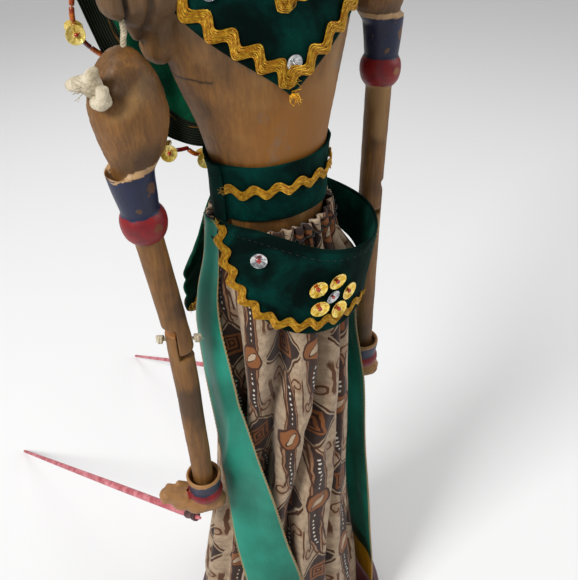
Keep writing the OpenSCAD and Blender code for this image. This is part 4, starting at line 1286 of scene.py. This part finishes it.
def hip_wrap():
    """Crescent wrap that stands open at the left, with braid, flower and sequins."""
    A, V = grid(arange(196, 402.5, 1.25), linspace(1, 0, 40))
    P = wrap_at(A, V, 1.2)
    n = wrap_out(A, V)
    rip = (0.35 * ripple(A * 0.05, V * 3, s=9) + 0.5 * bell(V - 0.04, 0.05) * sin(A * 0.11)
           + 0.25 * ripple(A * 0.2, V * 7, s=10))
    P = P + n * rip[..., None]
    uv = stack([rad(A) * 42 * MM, P[..., 2] * MM], -1)
    o = sheet_mesh("hip_wrap_velvet", P, M["velvet"], "body", "hip_wrap", uv, thick=1.1,
                   mats=[M["velvet"], M["lining"]], back=1)
    area(P)
    # the turned rim, stitched down inside
    a = arange(197, 401, 1.6)
    rim = (wrap_at(a, 0.0, 0.75) + wrap_out(a, a * 0)
           * (0.35 * ripple(a * 0.05, a * 0, s=9) + 0.5 * exp(-0.64) * sin(a * 0.11))[:, None])
    v, f, u = tube_geo(rim + [0, 0, 0.1], 0.75, 10)
    # the rim is the darker velvet copy: painted shade
    obj("hip_wrap_rim", v, f, M["velvet_shaded"], "body", slot="velvet", uv=u)
    # up the open edge, then along the hem
    line = array([(199, 0.03), (201, 0.36), (204.2, 0.72), (214, 0.925), (233, 0.94), (250.4, 0.90),
                  (274, 0.86), (308, 0.84)])
    way = smooth_path(np.c_[line * [1, 30], np.zeros(len(line))], 150)
    a, vv = way[:, 0], way[:, 1] / 30
    add("hip_ricrac", ricrac(wrap_at(a, vv, 1.7), wrap_out(a, vv), 7.2, 9.4, 6, 0.35), M["braid"], "body",
        "hip_braid", "gold_braid", uv=True)
    st = [tube_geo(array([wrap_at(q, 0.10, 1.6), wrap_at(q + 1.2, 0.10, 1.75),
                          wrap_at(q + 2.2, 0.105, 1.5)]), 0.12, 4)[:2] for q in arange(206.0, 398, 4.6)]
    add("wrap_stitches", st, M["thread"], "body", slot="black_thread")
    fl = (279.3, 0.548)
    places = [(fl[0] + 11.8 * math.cos(rad(k * 72 - 3)), fl[1] + 0.2 * math.sin(rad(k * 72 - 3)))
              for k in range(5)]
    gold, silver, beads, stitch = [], [], [], []
    for k, (q, w) in enumerate(places + [fl, (232.1, 0.295)]):
        p, nn = wrap_at(np.float64(q), np.float64(w), 2.1), wrap_out(np.float64(q), np.float64(w))
        nn = unit(nn + rng.normal(size=3) * 0.10)
        (gold if k < 5 else silver).append(sequin(p, nn, 8.6 if k < 5 else 7.0, turn=k))
        beads.append(bead_geo(p + nn * 0.75, nn, 1.05 if k != 5 else 0.9))
        stitch.append(ball(p + nn * 0.5, 0.6, 8))
    for nm, g, m, node, sl in (("flower_cups", gold, M["gold"], "flower_sequins", "gold_sequin"),
                               ("silver_cups", silver, M["silver"], "silver_sequins", "silver_sequin")):
        add(nm, g, m, "body", node, sl, smooth=False)
    add("seed_bead_rings", beads, M["bead"], "body", "seed_beads", "red_bead")


def pleat(A, Z):
    """Folds that hang from the gathered waist: fine at the top, few and deep lower down."""
    t = rad(A)
    low = smooth01((302 - Z) / 42)
    fine = (abs(sin(t * 15 + sin(t * 4) + Z * 0.01)) ** 0.7 - 0.7) * 3.4 * smooth01((Z - 262) / 40)
    deep = 0.0
    for zs, as_, w, d in FOLDS:
        c = np.interp(Z, zs[::-1], as_[::-1]) + 1.6 * sin(Z * 0.045 + as_[0])
        q = np.mod(A - c + 180, 360) - 180
        deep = deep + d * exp(-abs(q / w) ** 1.6) - 0.12 * d * bell(abs(q) - 2.0 * w, w)
    small = sin(t * 17 + sin(t * 4) * 1.5 + Z * 0.006) * 0.5 * low
    # cloth that fills the open flap
    swell = 13.0 * bell(np.mod(A - 335 + 180, 360) - 180, 26) * bell(Z - 282, 15)
    return (1.8 + fine - 1.55 * deep * low + small + swell
            + 0.9 * ripple(cos(t) * 3, sin(t) * 3, Z * 0.035, s=12) * low)


def sarong():
    """Batik cloth, gathered by a black thread under the belt."""
    A, Z = grid(arange(0, 360, 0.6), np.r_[arange(28.6, 300, 2.4), arange(300, 320.5, 1.2)])
    P = sarong_at(A, Z, pleat(A, Z) * 0.75 - 0.6)
    mid = sarong_at(A[0], np.full(A.shape[1], 160.0), pleat(A[0], np.full(A.shape[1], 160.0)) * 0.75)
    ds = np.linalg.norm(np.diff(np.vstack([mid, mid[:1]]), axis=0), axis=1)
    # one seam at the back, where the cloth's two edges meet
    roll = 150
    P = np.roll(P, -roll, 1)
    s2 = np.r_[0, np.cumsum(np.roll(ds, -roll))]
    P = np.concatenate([P, P[:, :1]], 1)
    U = np.tile(s2[None] * MM, (P.shape[0], 1))
    Vv = np.concatenate([Z, Z[:, :1]], 1) * MM
    o = sheet_mesh("sarong_batik", P, M["batik"], "body", "sarong", stack([U, Vv + 0.012], -1),
                   thick=0.9)
    area(P) / 0.296
    c = [sarong_at(a, 314.6 + 0.5 * sin(a), pleat(np.float64(a), np.float64(315.0)) * 0.75 + 0.2)
         for a in arange(0, 360, 1.0)]
    add("waist_thread", [tube_geo(array(c + c[:1]), 0.42, 6)], M["thread"], "body", "waist_cord",
        "black_thread")
    st = [tube_geo(array([sarong_at(a, z, pleat(np.float64(a), np.float64(z)) * 0.75 + 0.05)
                          for a in (q, q + 1.3, q + 2.6)]), 0.16, 4)[:2] for z in (318.4, 311.0)
          for q in arange(0, 360, 5.2)]
    add("gather_stitches", st, M["thread"], "body", slot="black_thread")


def sash(side, T, seed):
    """Satin ribbon down one side, along the rows of T."""
    z0, z1 = T[0][0], T[-1][0] + 5.5  # their tops are tucked up under the belt
    K, Z = grid(linspace(-1, 1, 41), linspace(z0, z1, 150))
    a = column(T, Z, 1) + K * column(T, Z, 3)
    off = column(T, Z, 2) + K * column(T, Z, 4)
    crease = (0.9 * sin(K * 2.6 + Z * 0.030 + seed) + 0.5 * sin(K * 4.5 - Z * 0.052)
              + 0.45 * ripple(K * 1.4, Z * 0.03, s=20 + seed))
    cr = 0.0
    if side == "r":
        cr = 1.5 * bell(K * 14 - (Z - 205) * 0.5, 3.0) * bell(Z - 205, 30)
    P = sarong_at(a, Z, off + 0.6 + crease * 0.75 + cr)
    P[..., 2] += 0.6 * ripple(K * 2, Z * 0.05, s=30 + seed) * (Z > z0 + 6)
    uv = stack([K * 0.5, (Z - 35) * MM if side == "l" else (Z * MM + 0.03)], -1)
    o = sheet_mesh("sash_satin_" + side, P, M["satin"], "body", "sash_" + side, uv, thick=0.45)
    L = float(np.linalg.norm(np.diff(P[:, 20], axis=0), axis=1).sum()) * MM
    area(P) / L
    ed = []  # picot stitching along both edges
    for j, inner in ((0, 1), (40, 39)):
        E_ = resample(P[:, j], 420)
        I_ = resample(P[:, inner], 420)
        out = unit(E_ - I_)
        k = arange(420)
        ed.append(tube_geo(E_ + out * (0.22 + 0.30 * sin(k * 2 * pi / 3.5))[:, None], 0.2, 5))
    add("sash_edge_" + side, ed, M["edge"], "body", slot="satin", uv=True)


def tail():
    """Velvet panel behind the right hip, from TAIL_TOP down to TAIL_FOOT."""
    A, V = grid(linspace(47, 133, 100), linspace(1, 0, 60))
    t = rad(A)
    scal = 3.0 * abs(sin((A - 47) / 86 * pi * 5)) ** 0.7
    top = TAIL_TOP - 30 * abs((A - 90) / 43) ** 2.4
    z = top - (top - TAIL_FOOT + scal - 2) * V
    k = 6.6 + 1.5 * V
    # its right edge curls away, scalloped
    flare = smooth01((A - 106) / 27) * smooth01(V * 2.2) * (4.6 + 1.4 * abs(sin(V * pi * 4)))
    P = sarong_at(A, clip(z, 30, 320), k + 1.2 + 0.9 * V * sin((A - 47) * 0.22) + flare)
    P[..., 2] = z
    P[..., 1] += 1.2 + 3 * V
    o = sheet_mesh("tail_velvet", P, M["velvet"], "body", "tail_panel",
                   stack([t * 40 * MM, (z - TAIL_FOOT + scal) * MM], -1), thick=1.1,
                   mats=[M["hem"], M["lining"]], back=1)
    area(P)
    def edge(a, v, lift):
        zz = TAIL_TOP - (TAIL_TOP - TAIL_FOOT) * v
        p = sarong_at(a, clip(zz, 30, 320), 6.6 + 1.5 * v + lift)
        p[..., 2] = zz
        p[..., 1] += 1.2 + 3 * v
        return p
    a = linspace(48, 132, 140)
    Q = edge(a, np.full(140, 0.93), 2.6)
    n = unit(stack([cos(rad(a)), sin(rad(a)), 0 * a], -1))
    add("tail_ricrac", ricrac(Q, n, 6.0, 9, 5, 0.44), M["braid"], "body", "tail_braid", "gold_braid",
        uv=True)
    b = [ball(edge(np.float64(q), np.float64(1.06), 0.6), 1.7, 14) for q in (50, 70, 90, 110, 130)]
    add("tail_bead_drops", b, M["gold"], "body", "tail_beads", "gold_sequin")


# ---------- arms
BULB = [[0, 0], [5.6, 0], [6.3, 3], [7.2, 7], [9.4, 13], [11.4, 19], [12.7, 26], [13, 32], [12.4, 38],
        [11, 43], [8.6, 47.6], [5.4, 51], [2.4, 52.7], [0.1, 53]]
CUP = [[0.05, 0], [7.3, 0], [7.7, 3], [8.0, 6], [8.5, 11], [9.0, 15], [9.25, 17.6], [9.1, 18.8],
       [8.5, 19.0], [7.9, 18.2], [7.4, 14], [6, 12], [0.05, 12]]
RING = [[0.05, -13], [5.6, -13], [7.2, -11.8], [8.5, -9.6], [9.15, -6.8], [9.2, -4.2], [8.8, -2],
        [8.0, -0.4], [7.3, 0.4], [0.05, 0.5]]
CORD_R, TIE_R = 1.05, 0.62  # radii of the cotton cords and of the rod ties
BLUE_PAINT, RED_PAINT = linear("19203c"), linear("7e1216")
# from the ring's band to the elbow, from the elbow to the wrist, radius of the stick, half height of the lap
UPPER, FORE, STICK, LAP = 68.0, 101.0, 5.7, 9.0
YAW_HAND, YAW_ELBOW, BULB_LEAN, BULB_H = 150.0, 30.0, 11, 53
ARM = dict(r=dict(s=-1, band=array([-61.6, -9.7, 343.0]), lean=(0, -6), bulb=53.0,
                  piv=array([-56.6, -9.3, 407.9]), far=array([-117, 239, 1.4])),
           l=dict(s=1, band=array([64.2, 7.9, 369.4]), lean=(-2, 4), bulb=46.0, piv=array([60, 8.2, 428.3]),
        far=array([9, 298, 1.4])))
for q in ARM.values():
    q["rot"] = ry(q["lean"][1]) @ rx(q["lean"][0])
    q["elbow"] = q["band"] + q["rot"] @ [0, 0, -UPPER]
    q["frot"] = ry(q["s"])
    q["wrist"] = q["elbow"] + q["frot"] @ [0, 0, -FORE]
    q["yaw"] = 180 - YAW_ELBOW if q["s"] < 0 else YAW_ELBOW
    q["tie"] = q["wrist"] + 9 * array([math.cos(rad(YAW_HAND)), math.sin(rad(YAW_HAND)), 0])
    q["hang"] = q["tie"] - [0, 0, 24.4]


def cut(o, V, F):
    """Takes a closed solid away from o."""
    c = obj("cutter", V, F, M["wood"], None)
    m = o.modifiers.new("cut", "BOOLEAN")
    m.object = c
    m.operation = "DIFFERENCE"
    m.solver = "EXACT"
    me = bpy.data.meshes.new_from_object(o.evaluated_get(bpy.context.evaluated_depsgraph_get()))
    o.modifiers.clear()
    o.data = me
    bpy.data.objects.remove(c)
    return o


def block(lo, hi, at=(0, 0, 0), rot=None):
    """Closed box between two corners."""
    V = array([[x, y, z] for z in (lo[2], hi[2]) for y in (lo[1], hi[1]) for x in (lo[0], hi[0])], float)
    return place(V, at, rot), [(0, 2, 3, 1), (4, 5, 7, 6), (0, 1, 5, 4), (2, 6, 7, 3), (0, 4, 6, 2),
                               (1, 3, 7, 5)]


def fine(o, name, mat, voxel, smooth, fn=None, paint=None):
    """Remeshes a cut solid once more, finer, with its carved relief and paint."""
    V = coords(o)
    F = [tuple(p.vertices) for p in o.data.polygons]
    bpy.data.objects.remove(o)
    return remesh(name, [(V, F)], mat, None, voxel=voxel, smooth=smooth, fn=fn, paint=paint)


def bulb_frame(k):
    """Turn and foot of the bulb, which leans out from its cup."""
    q = ARM[k]
    return q["rot"] @ ry(-q["s"] * BULB_LEAN), q["band"] + q["rot"] @ [0, 0, 9]


def upper_arm(k):
    """Bulb, cup, ring and stick in one carving, with its half of the lap."""
    q = ARM[k]
    s, rot, band = q["s"], q["rot"], q["band"]
    rb, bo = bulb_frame(k)
    parts = [lathe_geo([(r, z * q["bulb"] / BULB_H) for r, z in BULB], 40, bo, rb),
             lathe_geo(CUP, 48, band, rot), lathe_geo(RING, 48, band, rot),
             lathe_geo([(0.05, -UPPER - 6), (STICK - 0.5, -UPPER - 6), (STICK, -UPPER - 5.4),
            (STICK + 0.15, -12), (0.05, -8)], 40, band, rot)]
    o = remesh("u", parts, M["painted"], None, voxel=0.7, smooth=1)
    fr = rz(q["yaw"])
    o = cut(o, *block((-0.2, -12, -16), (19.8, 12, LAP), q["elbow"], fr))
    def fn(co, no):
        L = (co - band) @ rot
        b = smooth01((L[:, 2] - 14) / 8)
        z0 = q["bulb"] / BULB_H
        def lump(x, y, z, w):
            return exp(-((L[:, 0] - x) ** 2 + (L[:, 1] - y) ** 2 + (L[:, 2] - z * z0 - 9) ** 2) / w ** 2)
        co = (co + no * (1.3 * lump(12 * -s, -6, 22, 12) - 2.0 * lump(9 * -s, -4, 43, 10)
                         + 1.2 * lump(11 * s, -6, 39, 11) - 1.2 * lump(10 * s, -6, 14, 10)
                         - 0.9 * lump(0, -12, 20, 8))[:, None])
        co = co + no * (grain(co, 0.22, 0.13, 40 + s) * (0.16 + 0.45 * b))[:, None]
        h = grain(co, 0.35, 0.2, 44 + s)
        return co + no * (knife(h, 3) * 0.5 * b)[:, None]
    def paint(co):
        L = (co - band) @ rot
        z = L[:, 2] + 0.35 * ripple(co[:, 0] * 0.5, co[:, 1] * 0.5, s=50)
        r = np.hypot(L[:, 0], L[:, 1])
        c = np.zeros((len(co), 3))
        a = np.zeros(len(co))
        blue = (z > 0) & (z < 17.6) & (r > 6.9 + 0.09 * z)
        red = (z <= 0) & (z > -11.9) & (r > 5.95)
        rim = (z > 6) & (z < 20) & (r > 7.0) & ~blue
        c[blue] = BLUE_PAINT
        c[red] = RED_PAINT
        a[blue | red] = 1
        c[rim] = linear("c09a6c")
        a[rim] = 0.85
        th = np.degrees(np.arctan2(L[:, 1], L[:, 0]))  # worn patches at the front
        for zc, tc, rz_, rt in ((11, -60, 2.6, 16), (-5, -75, 1.6, 12), (4, -110, 1.0, 9),
                                (-8, -40, 1.0, 10)):
            a[(((z - zc) / rz_) ** 2 + ((th - tc) / rt) ** 2 + 0.5 * ripple(z * 1.2, th * 0.1, s=51)
               + 0.5 * grain(co, 2.2, 2.2, 52)) < 1] = 0.35
        return c, a
    o = fine(o, "upper_arm_carved_" + k, M["painted"], 0.5, 2, fn, paint)
    attach(o, "upper_arm_" + k, "upper_arm_" + k)


def shoulder_knot(k):
    """Knot of soft cotton on the outer side of the bulb."""
    q = ARM[k]
    s = q["s"]
    rb, bo = bulb_frame(k)
    axis = rz(-22 * s) @ [s, 0, 0]
    out = rb @ axis
    across = rb @ cross([0, 0, 1], axis)
    c0 = bo + rb @ (axis * 12.2 + [0, 0, 42.5 * q["bulb"] / BULB_H])
    g = np.random.default_rng(7 + s)
    fluff = []
    at = lambda o, w, h: c0 + out * o + across * w * -s + rb @ [0, 0, h]
    lumps = [ball(at(2.4, 0, 0), 3.6, 18, (1, 1.1, 0.9)),
             capsule(at(3.0, 0.5, 1.2), at(4.8, -6.8, -0.4), 3.8, 2.1),
             capsule(at(3.0, 1.0, 1.5), at(3.4, 2.4, 5.4), 3.2, 2.0),
             capsule(at(3.2, 5.6, -3.8), at(3.6, 6.6, 0.2), 2.6, 2.2),
             capsule(at(3.2, 5.6, -3.8), at(3.0, 1.8, -5.0), 2.6, 2.0)]
    remesh("shoulder_knot_" + k + "_cotton", lumps, M["cotton"], "upper_arm_" + k, "shoulder_knot_" + k,
           0.4, 2, lambda co, no: co + no * (0.5 * grain(co, 0.8, 0.8, 60))[:, None])
    for _ in range(16):
        d = unit(out + g.normal(size=3) * 0.9)
        p = c0 + out * 3.4 + d * 3.2
        e = unit(d + g.normal(size=3) * 0.7)
        L = g.uniform(1.2, 3.2)
        hair = smooth_path([p, p + d * L * 0.5, p + d * L * 0.7 + e * L * 0.45], 9)
        fluff.append(tube_geo(hair, 0.12, 4)[:2])
    add("shoulder_fluff_" + k, fluff, M["cotton"], "upper_arm_" + k, slot="cotton_cord")


def shoulder_cord(k):
    """Cord from the stub's groove down into the top of the bulb."""
    q = ARM[k]
    rb, bo = bulb_frame(k)
    b = BOSS[k]
    top = bo + rb @ [0, 0, q["bulb"]]
    piv = q["piv"]
    link = "shoulder_cord_" + k
    way = smooth_path([b + [0, 2.0, 3], b + [0, 1.6, -3], piv + [0, 0.2, 3.5], piv], 30)
    upper = twist("shoulder_string_" + k, way, CORD_R, M["cotton"])
    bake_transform(upper)
    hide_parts(link)
    way = smooth_path([piv + [0, -0.1, 0.3], (piv + top) / 2, top + [0, 0, -2.5]], 16)
    lower = twist("shoulder_loop_" + k, way, CORD_R, M["cotton"])
    "upper_arm_" + k
    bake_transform(lower)


def twist(name, P, r, mat, n=3, pitch=3.4):
    """Cord of n twisted strands along a path."""
    P = np.asarray(P, float)
    d = run(P)
    m = max(8, int(d[-1] / 0.35))
    Q = resample(P, m)
    t = linspace(0, d[-1], m)
    T = unit(np.gradient(Q, axis=0))
    u = unit(cross(T, [0.3, 0.5, 0.8]))
    w = cross(T, u)
    out = []
    for k in range(n):
        ph = 2 * pi * (t / pitch + k / n)
        out.append(tube_geo(Q + (u * cos(ph)[:, None] + w * sin(ph)[:, None]) * r * 0.48, r * 0.56, 7))
    return add(name, out, mat, None, uv=True)


def forearm(k):
    """Lower stick with its half of the lap."""
    q = ARM[k]
    s, rot, e = q["s"], q["frot"], q["elbow"]
    stick = [(0.05, -FORE - 3), (2, -FORE - 3), (2, -FORE + 3), (4.7, -FORE + 3), (5.2, -FORE + 4),
             (STICK, 4.6), (STICK - 0.5, 5.2), (0.05, 5.2)]
    o = remesh("f", [lathe_geo(stick, 40, e, rot)], M["painted"], None, voxel=0.7, smooth=1)
    fr = rz(q["yaw"])
    o = cut(o, *block((-19.8, -12, -LAP), (0.2, 12, 16), e, fr))
    def fn(co, no):
        co = co + no * (grain(co, 0.25, 0.10, 70 + s) * 0.22)[:, None]
        h = grain(co, 0.5, 0.06, 74 + s)
        return co + no * (knife(h, 3) * 0.35)[:, None]
    def paint(co):
        end = (co - e)[:, 2] > 4.4
        c = np.zeros((len(co), 3))
        c[:] = linear("9a6432")
        return c, where(end, 0.8, 0.0)
    o = fine(o, "forearm_carved_" + k, M["painted"], 0.5, 2, fn, paint)
    attach(o, "forearm_" + k, "forearm_" + k)


def elbow_cord(k):
    """Cord through the lap, knotted at both ends."""
    q = ARM[k]
    e = q["elbow"]
    ax = array([math.cos(rad(q["yaw"])), math.sin(rad(q["yaw"])), 0.0])
    ring = twist("elbow_string_" + k, array([e + ax * t for t in linspace(-7.6, 7.6, 30)]), 0.8,
                 M["cotton"])
    attach(ring, "upper_arm_" + k, "elbow_cord_" + k)
    kn = []
    for j in (-1, 1):
        u, w = cross(ax, [0, 0, 1.0]), array([0, 0, 1.0])
        tt = linspace(0, 2.3 * 2 * pi, 50)
        turns = [e + ax * j * (7.0 + 0.16 * t) + (u * math.cos(t) + w * math.sin(t)) * 1.35 for t in tt]
        kn += [tube_geo(array(turns), 0.72, 8)[:2], ball(e + ax * j * 8.6, 1.2, 12)]
    for j in (-1, 1):
        kn += thread_fuzz(e + ax * 8.4 * j, ax * j, 7, 2.6, 0.2, 0.7, 5 + j)
    add("elbow_knots_" + k, kn, M["cotton"], "upper_arm_" + k, slot="cotton_cord")


def hand(k):
    """Cuff and folded hand in one carving, with a hole for the tie."""
    q = ARM[k]
    w, s = q["wrist"], q["s"]
    H = rz(YAW_HAND)
    cuff = [[0.05, -6.6], [6.4, -6.8], [7.6, -6.2], [8.5, -4.6], [8.95, -2.6], [8.7, -0.9], [7.8, 0.2],
            [7.7, 0.8], [8.1, 3.2], [8.7, 6.6], [8.95, 9.0], [8.7, 10.1], [8.0, 10.2], [7.3, 9.2], [6.5, 3],
            [5.4, 2.4], [0.05, 2.4]]
    parts = [lathe_geo(cuff, 48), capsule((-4.2, 0.3, -10.4), (6, 0, -12.2), 6.0, 6.6, 20),
             capsule((4, 0, -11.6), (14, 0, -10.2), 6.4, 5.6, 20),
             capsule((11, 0, -8), (20.5, 0.4, -6), 5.4, 4.2, 20),
             capsule((-5.6, 0, -10.6), (-8.6, 0, -11.2), 3.2, 1.4, 14)]
    # fingers: a folded block of four with a step, and the thumb across it
    for i, y in enumerate((-3.3, -1.1, 1.1, 3.2)):
        off = abs(i - 1.5)
        first = (20.8 - 0.6 * off, y * 1.05, -3.4 - 0.25 * i)
        second = (20.6 - 0.6 * off, y * 1.05, -3.6 - 0.25 * i)
        parts.append(capsule((13, y, -5.6), first, 1.9, 1.55, 12))
        parts.append(capsule(second, (22.6 - 0.7 * off, y * 0.95, -8.0), 1.6, 1.45, 12))
    parts += [capsule((6, -5.4, -7.4), (14.4, -4.9, -3.2), 2.1, 1.6, 12)]
    parts = [(place(V, w, H), F) for V, F in parts]
    o = remesh("h", parts, M["painted"], None, voxel=0.6, smooth=2)
    hole = tube_geo(array([q["tie"] + [0, 0, -26], q["tie"] + [0, 0, 4.0]]), 1.0, 12)[:2]
    o = cut(o, *hole)
    def paint(co):
        L = (co - w) @ H
        tilt = L[:, 2] + 0.09 * L[:, 0] + 0.3 * ripple(co[:, 0] * 0.6, co[:, 1] * 0.6, s=80)
        r = np.hypot(L[:, 0], L[:, 1])
        c = np.zeros((len(co), 3))
        a = np.zeros(len(co))
        blue = (tilt > 0.3) & (tilt < 7.6) & (r > 6.9)
        red = (tilt <= 0.3) & (tilt > -5.4) & (r > 6.8) & (r < 9.8) & (L[:, 2] > -5.6)
        c[:] = linear("b4824e")
        a[:] = 0.6
        c[blue] = BLUE_PAINT
        c[red] = RED_PAINT
        a[blue | red] = 1
        return c, a
    def fn(co, no):
        L = (co - w) @ H
        m = smooth01((-6 - L[:, 2]) / 3)
        h = grain(co, 0.3, 0.3, 84 + s)
        return co + no * ((h * 0.35 + knife(h, 3) * 0.55) * m)[:, None]
    o = fine(o, "hand_carved_" + k, M["painted"], 0.38, 2, fn, paint)
    attach(o, "forearm_" + k, "hand_" + k)


def rod_tie(k):
    """Dark string from the palm's hole down to the rod's tip, where it is wrapped."""
    q = ARM[k]
    t, h = q["tie"], q["hang"]
    d = unit(q["far"] - h)
    way = [t + [0, 0, -7.5], t + [0.3, 0.2, -13], t + [-0.2, 0, -18], h + [0, 0, 3.4], h + [0.2, 0.1, 0.6]]
    st = twist("rod_string_" + k, smooth_path(way, 40), TIE_R, M["tie"], 2, 2.4)
    "forearm_" + k
    "rod_tie_" + k
    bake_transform(st)
    u = unit(cross(d, [0, 0, 1.0]))
    v_ = cross(u, d)
    turns = 9
    x = linspace(0, 1, turns * 20)[:, None]
    ph = 2 * pi * turns * x
    coil = h + d * (-4.4 + 10.5 * x) + (u * cos(ph) + v_ * sin(ph)) * (1.75 + 0.25 * sin(x * 9))
    add("rod_wrap_" + k, [tube_geo(coil, TIE_R, 6)], M["tie"], "control_rod_" + k, slot="tie_cord", uv=True)
    kn = ([ball(h + [0, 0, 3.6], 1.5, 12), ball(h + [0.9, 0.4, 4.6], 1.1, 10)]
          + thread_fuzz(h + array([0.4, -0.6, 4.0]), (0.4, -0.6, -0.4), 6, 4.5, 0.2, 0.6, 9))
    add("rod_knot_" + k, kn, M["tie"], "rod_tie_" + k, "rod_tie_" + k, "tie_cord")


# ---------- put together
for name, mat in (("stand_base", "lacquer"), ("main_rod", "rodwood"), ("control_rod_r", "rose"),
                  ("control_rod_l", "rose")):
    o = frame["nodes"][name]
    o.data.materials.clear()
    o.data.materials.append(M[mat])
torso()
head()
headdress()
collar()
cape()
belt()
hip_wrap()
sarong()
sash("r", SASH_R, 0)
sash("l", SASH_L, 3)
tail()
for side in "rl":
    for piece in (upper_arm, shoulder_knot, shoulder_cord, forearm, elbow_cord, hand, rod_tie):
        piece(side)

# pale floor and soft light
bpy.ops.mesh.primitive_plane_add(size=6, location=(0, 0, -0.0002))
floor = bpy.context.object
floor.name = "floor"
fm = Mat("floor", rough=0.95, spec=0.1)
fm.set("Base Color", (0.86, 0.86, 0.86))
floor.data.materials.append(fm.m)
WORLD_STRENGTH = 0.42
world = bpy.data.worlds.new("soft")
bpy.context.scene.world = world
world.use_nodes = True
world.node_tree.nodes["Background"].inputs[0].default_value = (1, 1, 1, 1)
world.node_tree.nodes["Background"].inputs[1].default_value = WORLD_STRENGTH
# name, place, size and power of each light
LIGHTS = (("key", (-0.95, -0.25, 1.15), 0.40, 15), ("fill", (0.85, -0.45, 0.75), 0.7, 3.6),
          ("back", (0.1, 0.8, 0.9), 0.6, 2.5))
for nm, loc, size, power in LIGHTS:
    l = bpy.data.lights.new(nm, "AREA")
    l.size = size
    l.energy = power
    o = bpy.data.objects.new(nm, l)
    bpy.context.scene.collection.objects.link(o)
    o.location = loc
    o.rotation_euler = (Vector((0, 0, 0.3)) - Vector(loc)).to_track_quat("-Z", "Y").to_euler()

# camera: azimuth, height and roll angles, distance, the point it looks at, and the lens in millimetres
az, el, roll = math.radians(-30.8), math.radians(37.2), math.radians(-2.2)
DISTANCE, LOOK_AT, LENS, SENSOR = 0.3617, Vector((0.0079, 0, 0.269)), 46.55, 36
back = Vector((math.sin(az) * math.cos(el), -math.cos(az) * math.cos(el), math.sin(el)))
right = Vector((math.cos(az), math.sin(az), 0))
up = back.cross(right)
r2 = right * math.cos(roll) + up * math.sin(roll)
u2 = -right * math.sin(roll) + up * math.cos(roll)
cd = bpy.data.cameras.new("photo_camera")
cam = bpy.data.objects.new("photo_camera", cd)
bpy.context.scene.collection.objects.link(cam)
cam.matrix_world = Matrix(((r2.x, u2.x, back.x, 0), (r2.y, u2.y, back.y, 0), (r2.z, u2.z, back.z, 0),
                           (0, 0, 0, 1)))
cam.location = LOOK_AT + back * DISTANCE
cd.sensor_width = SENSOR
cd.lens = LENS
cd.clip_start = 0.01
cd.clip_end = 20
cd.dof.use_dof = False
sc = bpy.context.scene
sc.camera = cam
sc.render.resolution_x = 1156
sc.render.resolution_y = 1160
sc.view_settings.view_transform = "Standard"
